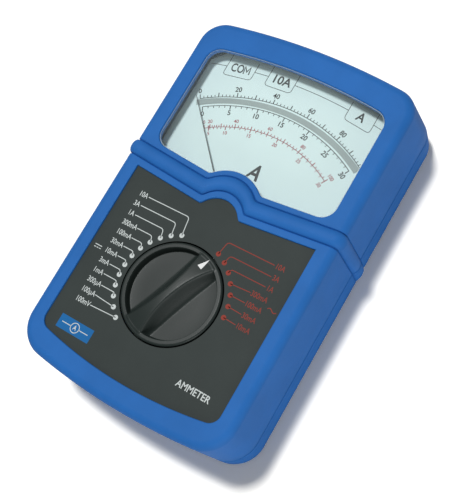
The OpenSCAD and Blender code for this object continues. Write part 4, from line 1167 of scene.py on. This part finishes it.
def letterWidth(words):
    return sum(letterShare.get(c, 0.496) for c in words) * panel["letter"]


def addRanges(bag, part, side):
    for i, words in enumerate(panel["ranges"][:part["count"]]):
        y = knobY + part["top"] - i * panel["row"]
        a = panel["first"] + i * panel["step"]
        dotX = side * panel["dotCircle"] * sin(a)
        dotY = knobY + panel["dotCircle"] * cos(a)
        bag["faces"].append(tuple(addPoints(bag, circle(dotX, dotY, panel["z"], panel["dot"], 28))))
        addLetters(bag, words, part["x"], y, panel["z"], panel["letter"], 0.0, panel["squeeze"],
                   align="LEFT" if side < 0 else "RIGHT")
        end = part["x"] - side * (letterWidth(words) + panel["gap"])
        drop = abs(y - dotY)
        bendX = dotX + side * min(1.4, 0.35 + 0.12 * drop)
        route = [(end, y), (dotX, dotY)] if drop < 0.9 else [(end, y), (bendX, y), (dotX, dotY)]
        addStroke(bag, roundCorners(route, panel["corner"]), panel["z"], panel["line"])


def addCurrentSigns(white, red):
    sign, z, width = panel["directSign"], panel["z"], panel["sign"]
    x, y = sign["x"], sign["y"]
    dashes = [(0, sign["apart"], sign["half"])]
    dashes += [(k * sign["step"], -sign["apart"], sign["dash"]) for k in (-1, 0, 1)]
    for dx, dy, half in dashes:
        addStroke(white, [(x + dx - half, y + dy), (x + dx + half, y + dy)], z, width)
    sign = panel["alternatingSign"]
    half, height = sign["half"], sign["height"]
    wave = [(half * (i / 8 - 1), height * sin(pi * i / 8)) for i in range(17)]
    addStroke(red, [(sign["x"] + dx, sign["y"] + dy) for dx, dy in wave], z, width)


def addPlate(blue, white):
    # plain plate with the ammeter sign: a ringed letter in a wire
    plate, z = panel["plate"], panel["z"]
    x, y, r = plate["x"], plate["y"], plate["ring"]
    corners = [(x + sx * plate["halfX"], y + sy * plate["halfY"], z) for sx, sy in
               ((1, 1), (-1, 1), (-1, -1), (1, -1))]
    blue["faces"].append(tuple(addPoints(blue, corners)))
    z += 0.03
    addStroke(white, [(px, py) for px, py, pz in circle(x, y, z, r, 40)], z, plate["line"], True)
    addLetters(white, "A", x, y, z, r, weight=0.03)
    for sx in (-1, 1):
        addStroke(white, [(x + sx * r, y), (x + sx * plate["wire"], y)], z, plate["line"])


def makePanelPrint():
    white, red, blue = newBag(), newBag(), newBag()
    addRanges(white, panel["direct"], -1)
    addRanges(red, panel["alternating"], 1)
    addCurrentSigns(white, red)
    addPlate(blue, white)
    name = panel["name"]
    addLetters(white, "AMMETER", name["x"], name["y"], panel["z"], name["height"], 0.0, 0.86, weight=0.02)
    makePrint("panelWhitePrint", white, "inkWhite")
    makePrint("panelRedPrint", red, "inkRust")
    makePrint("panelPlate", blue, "plateBlue")


makePanelPrint()
print("panel print ready")
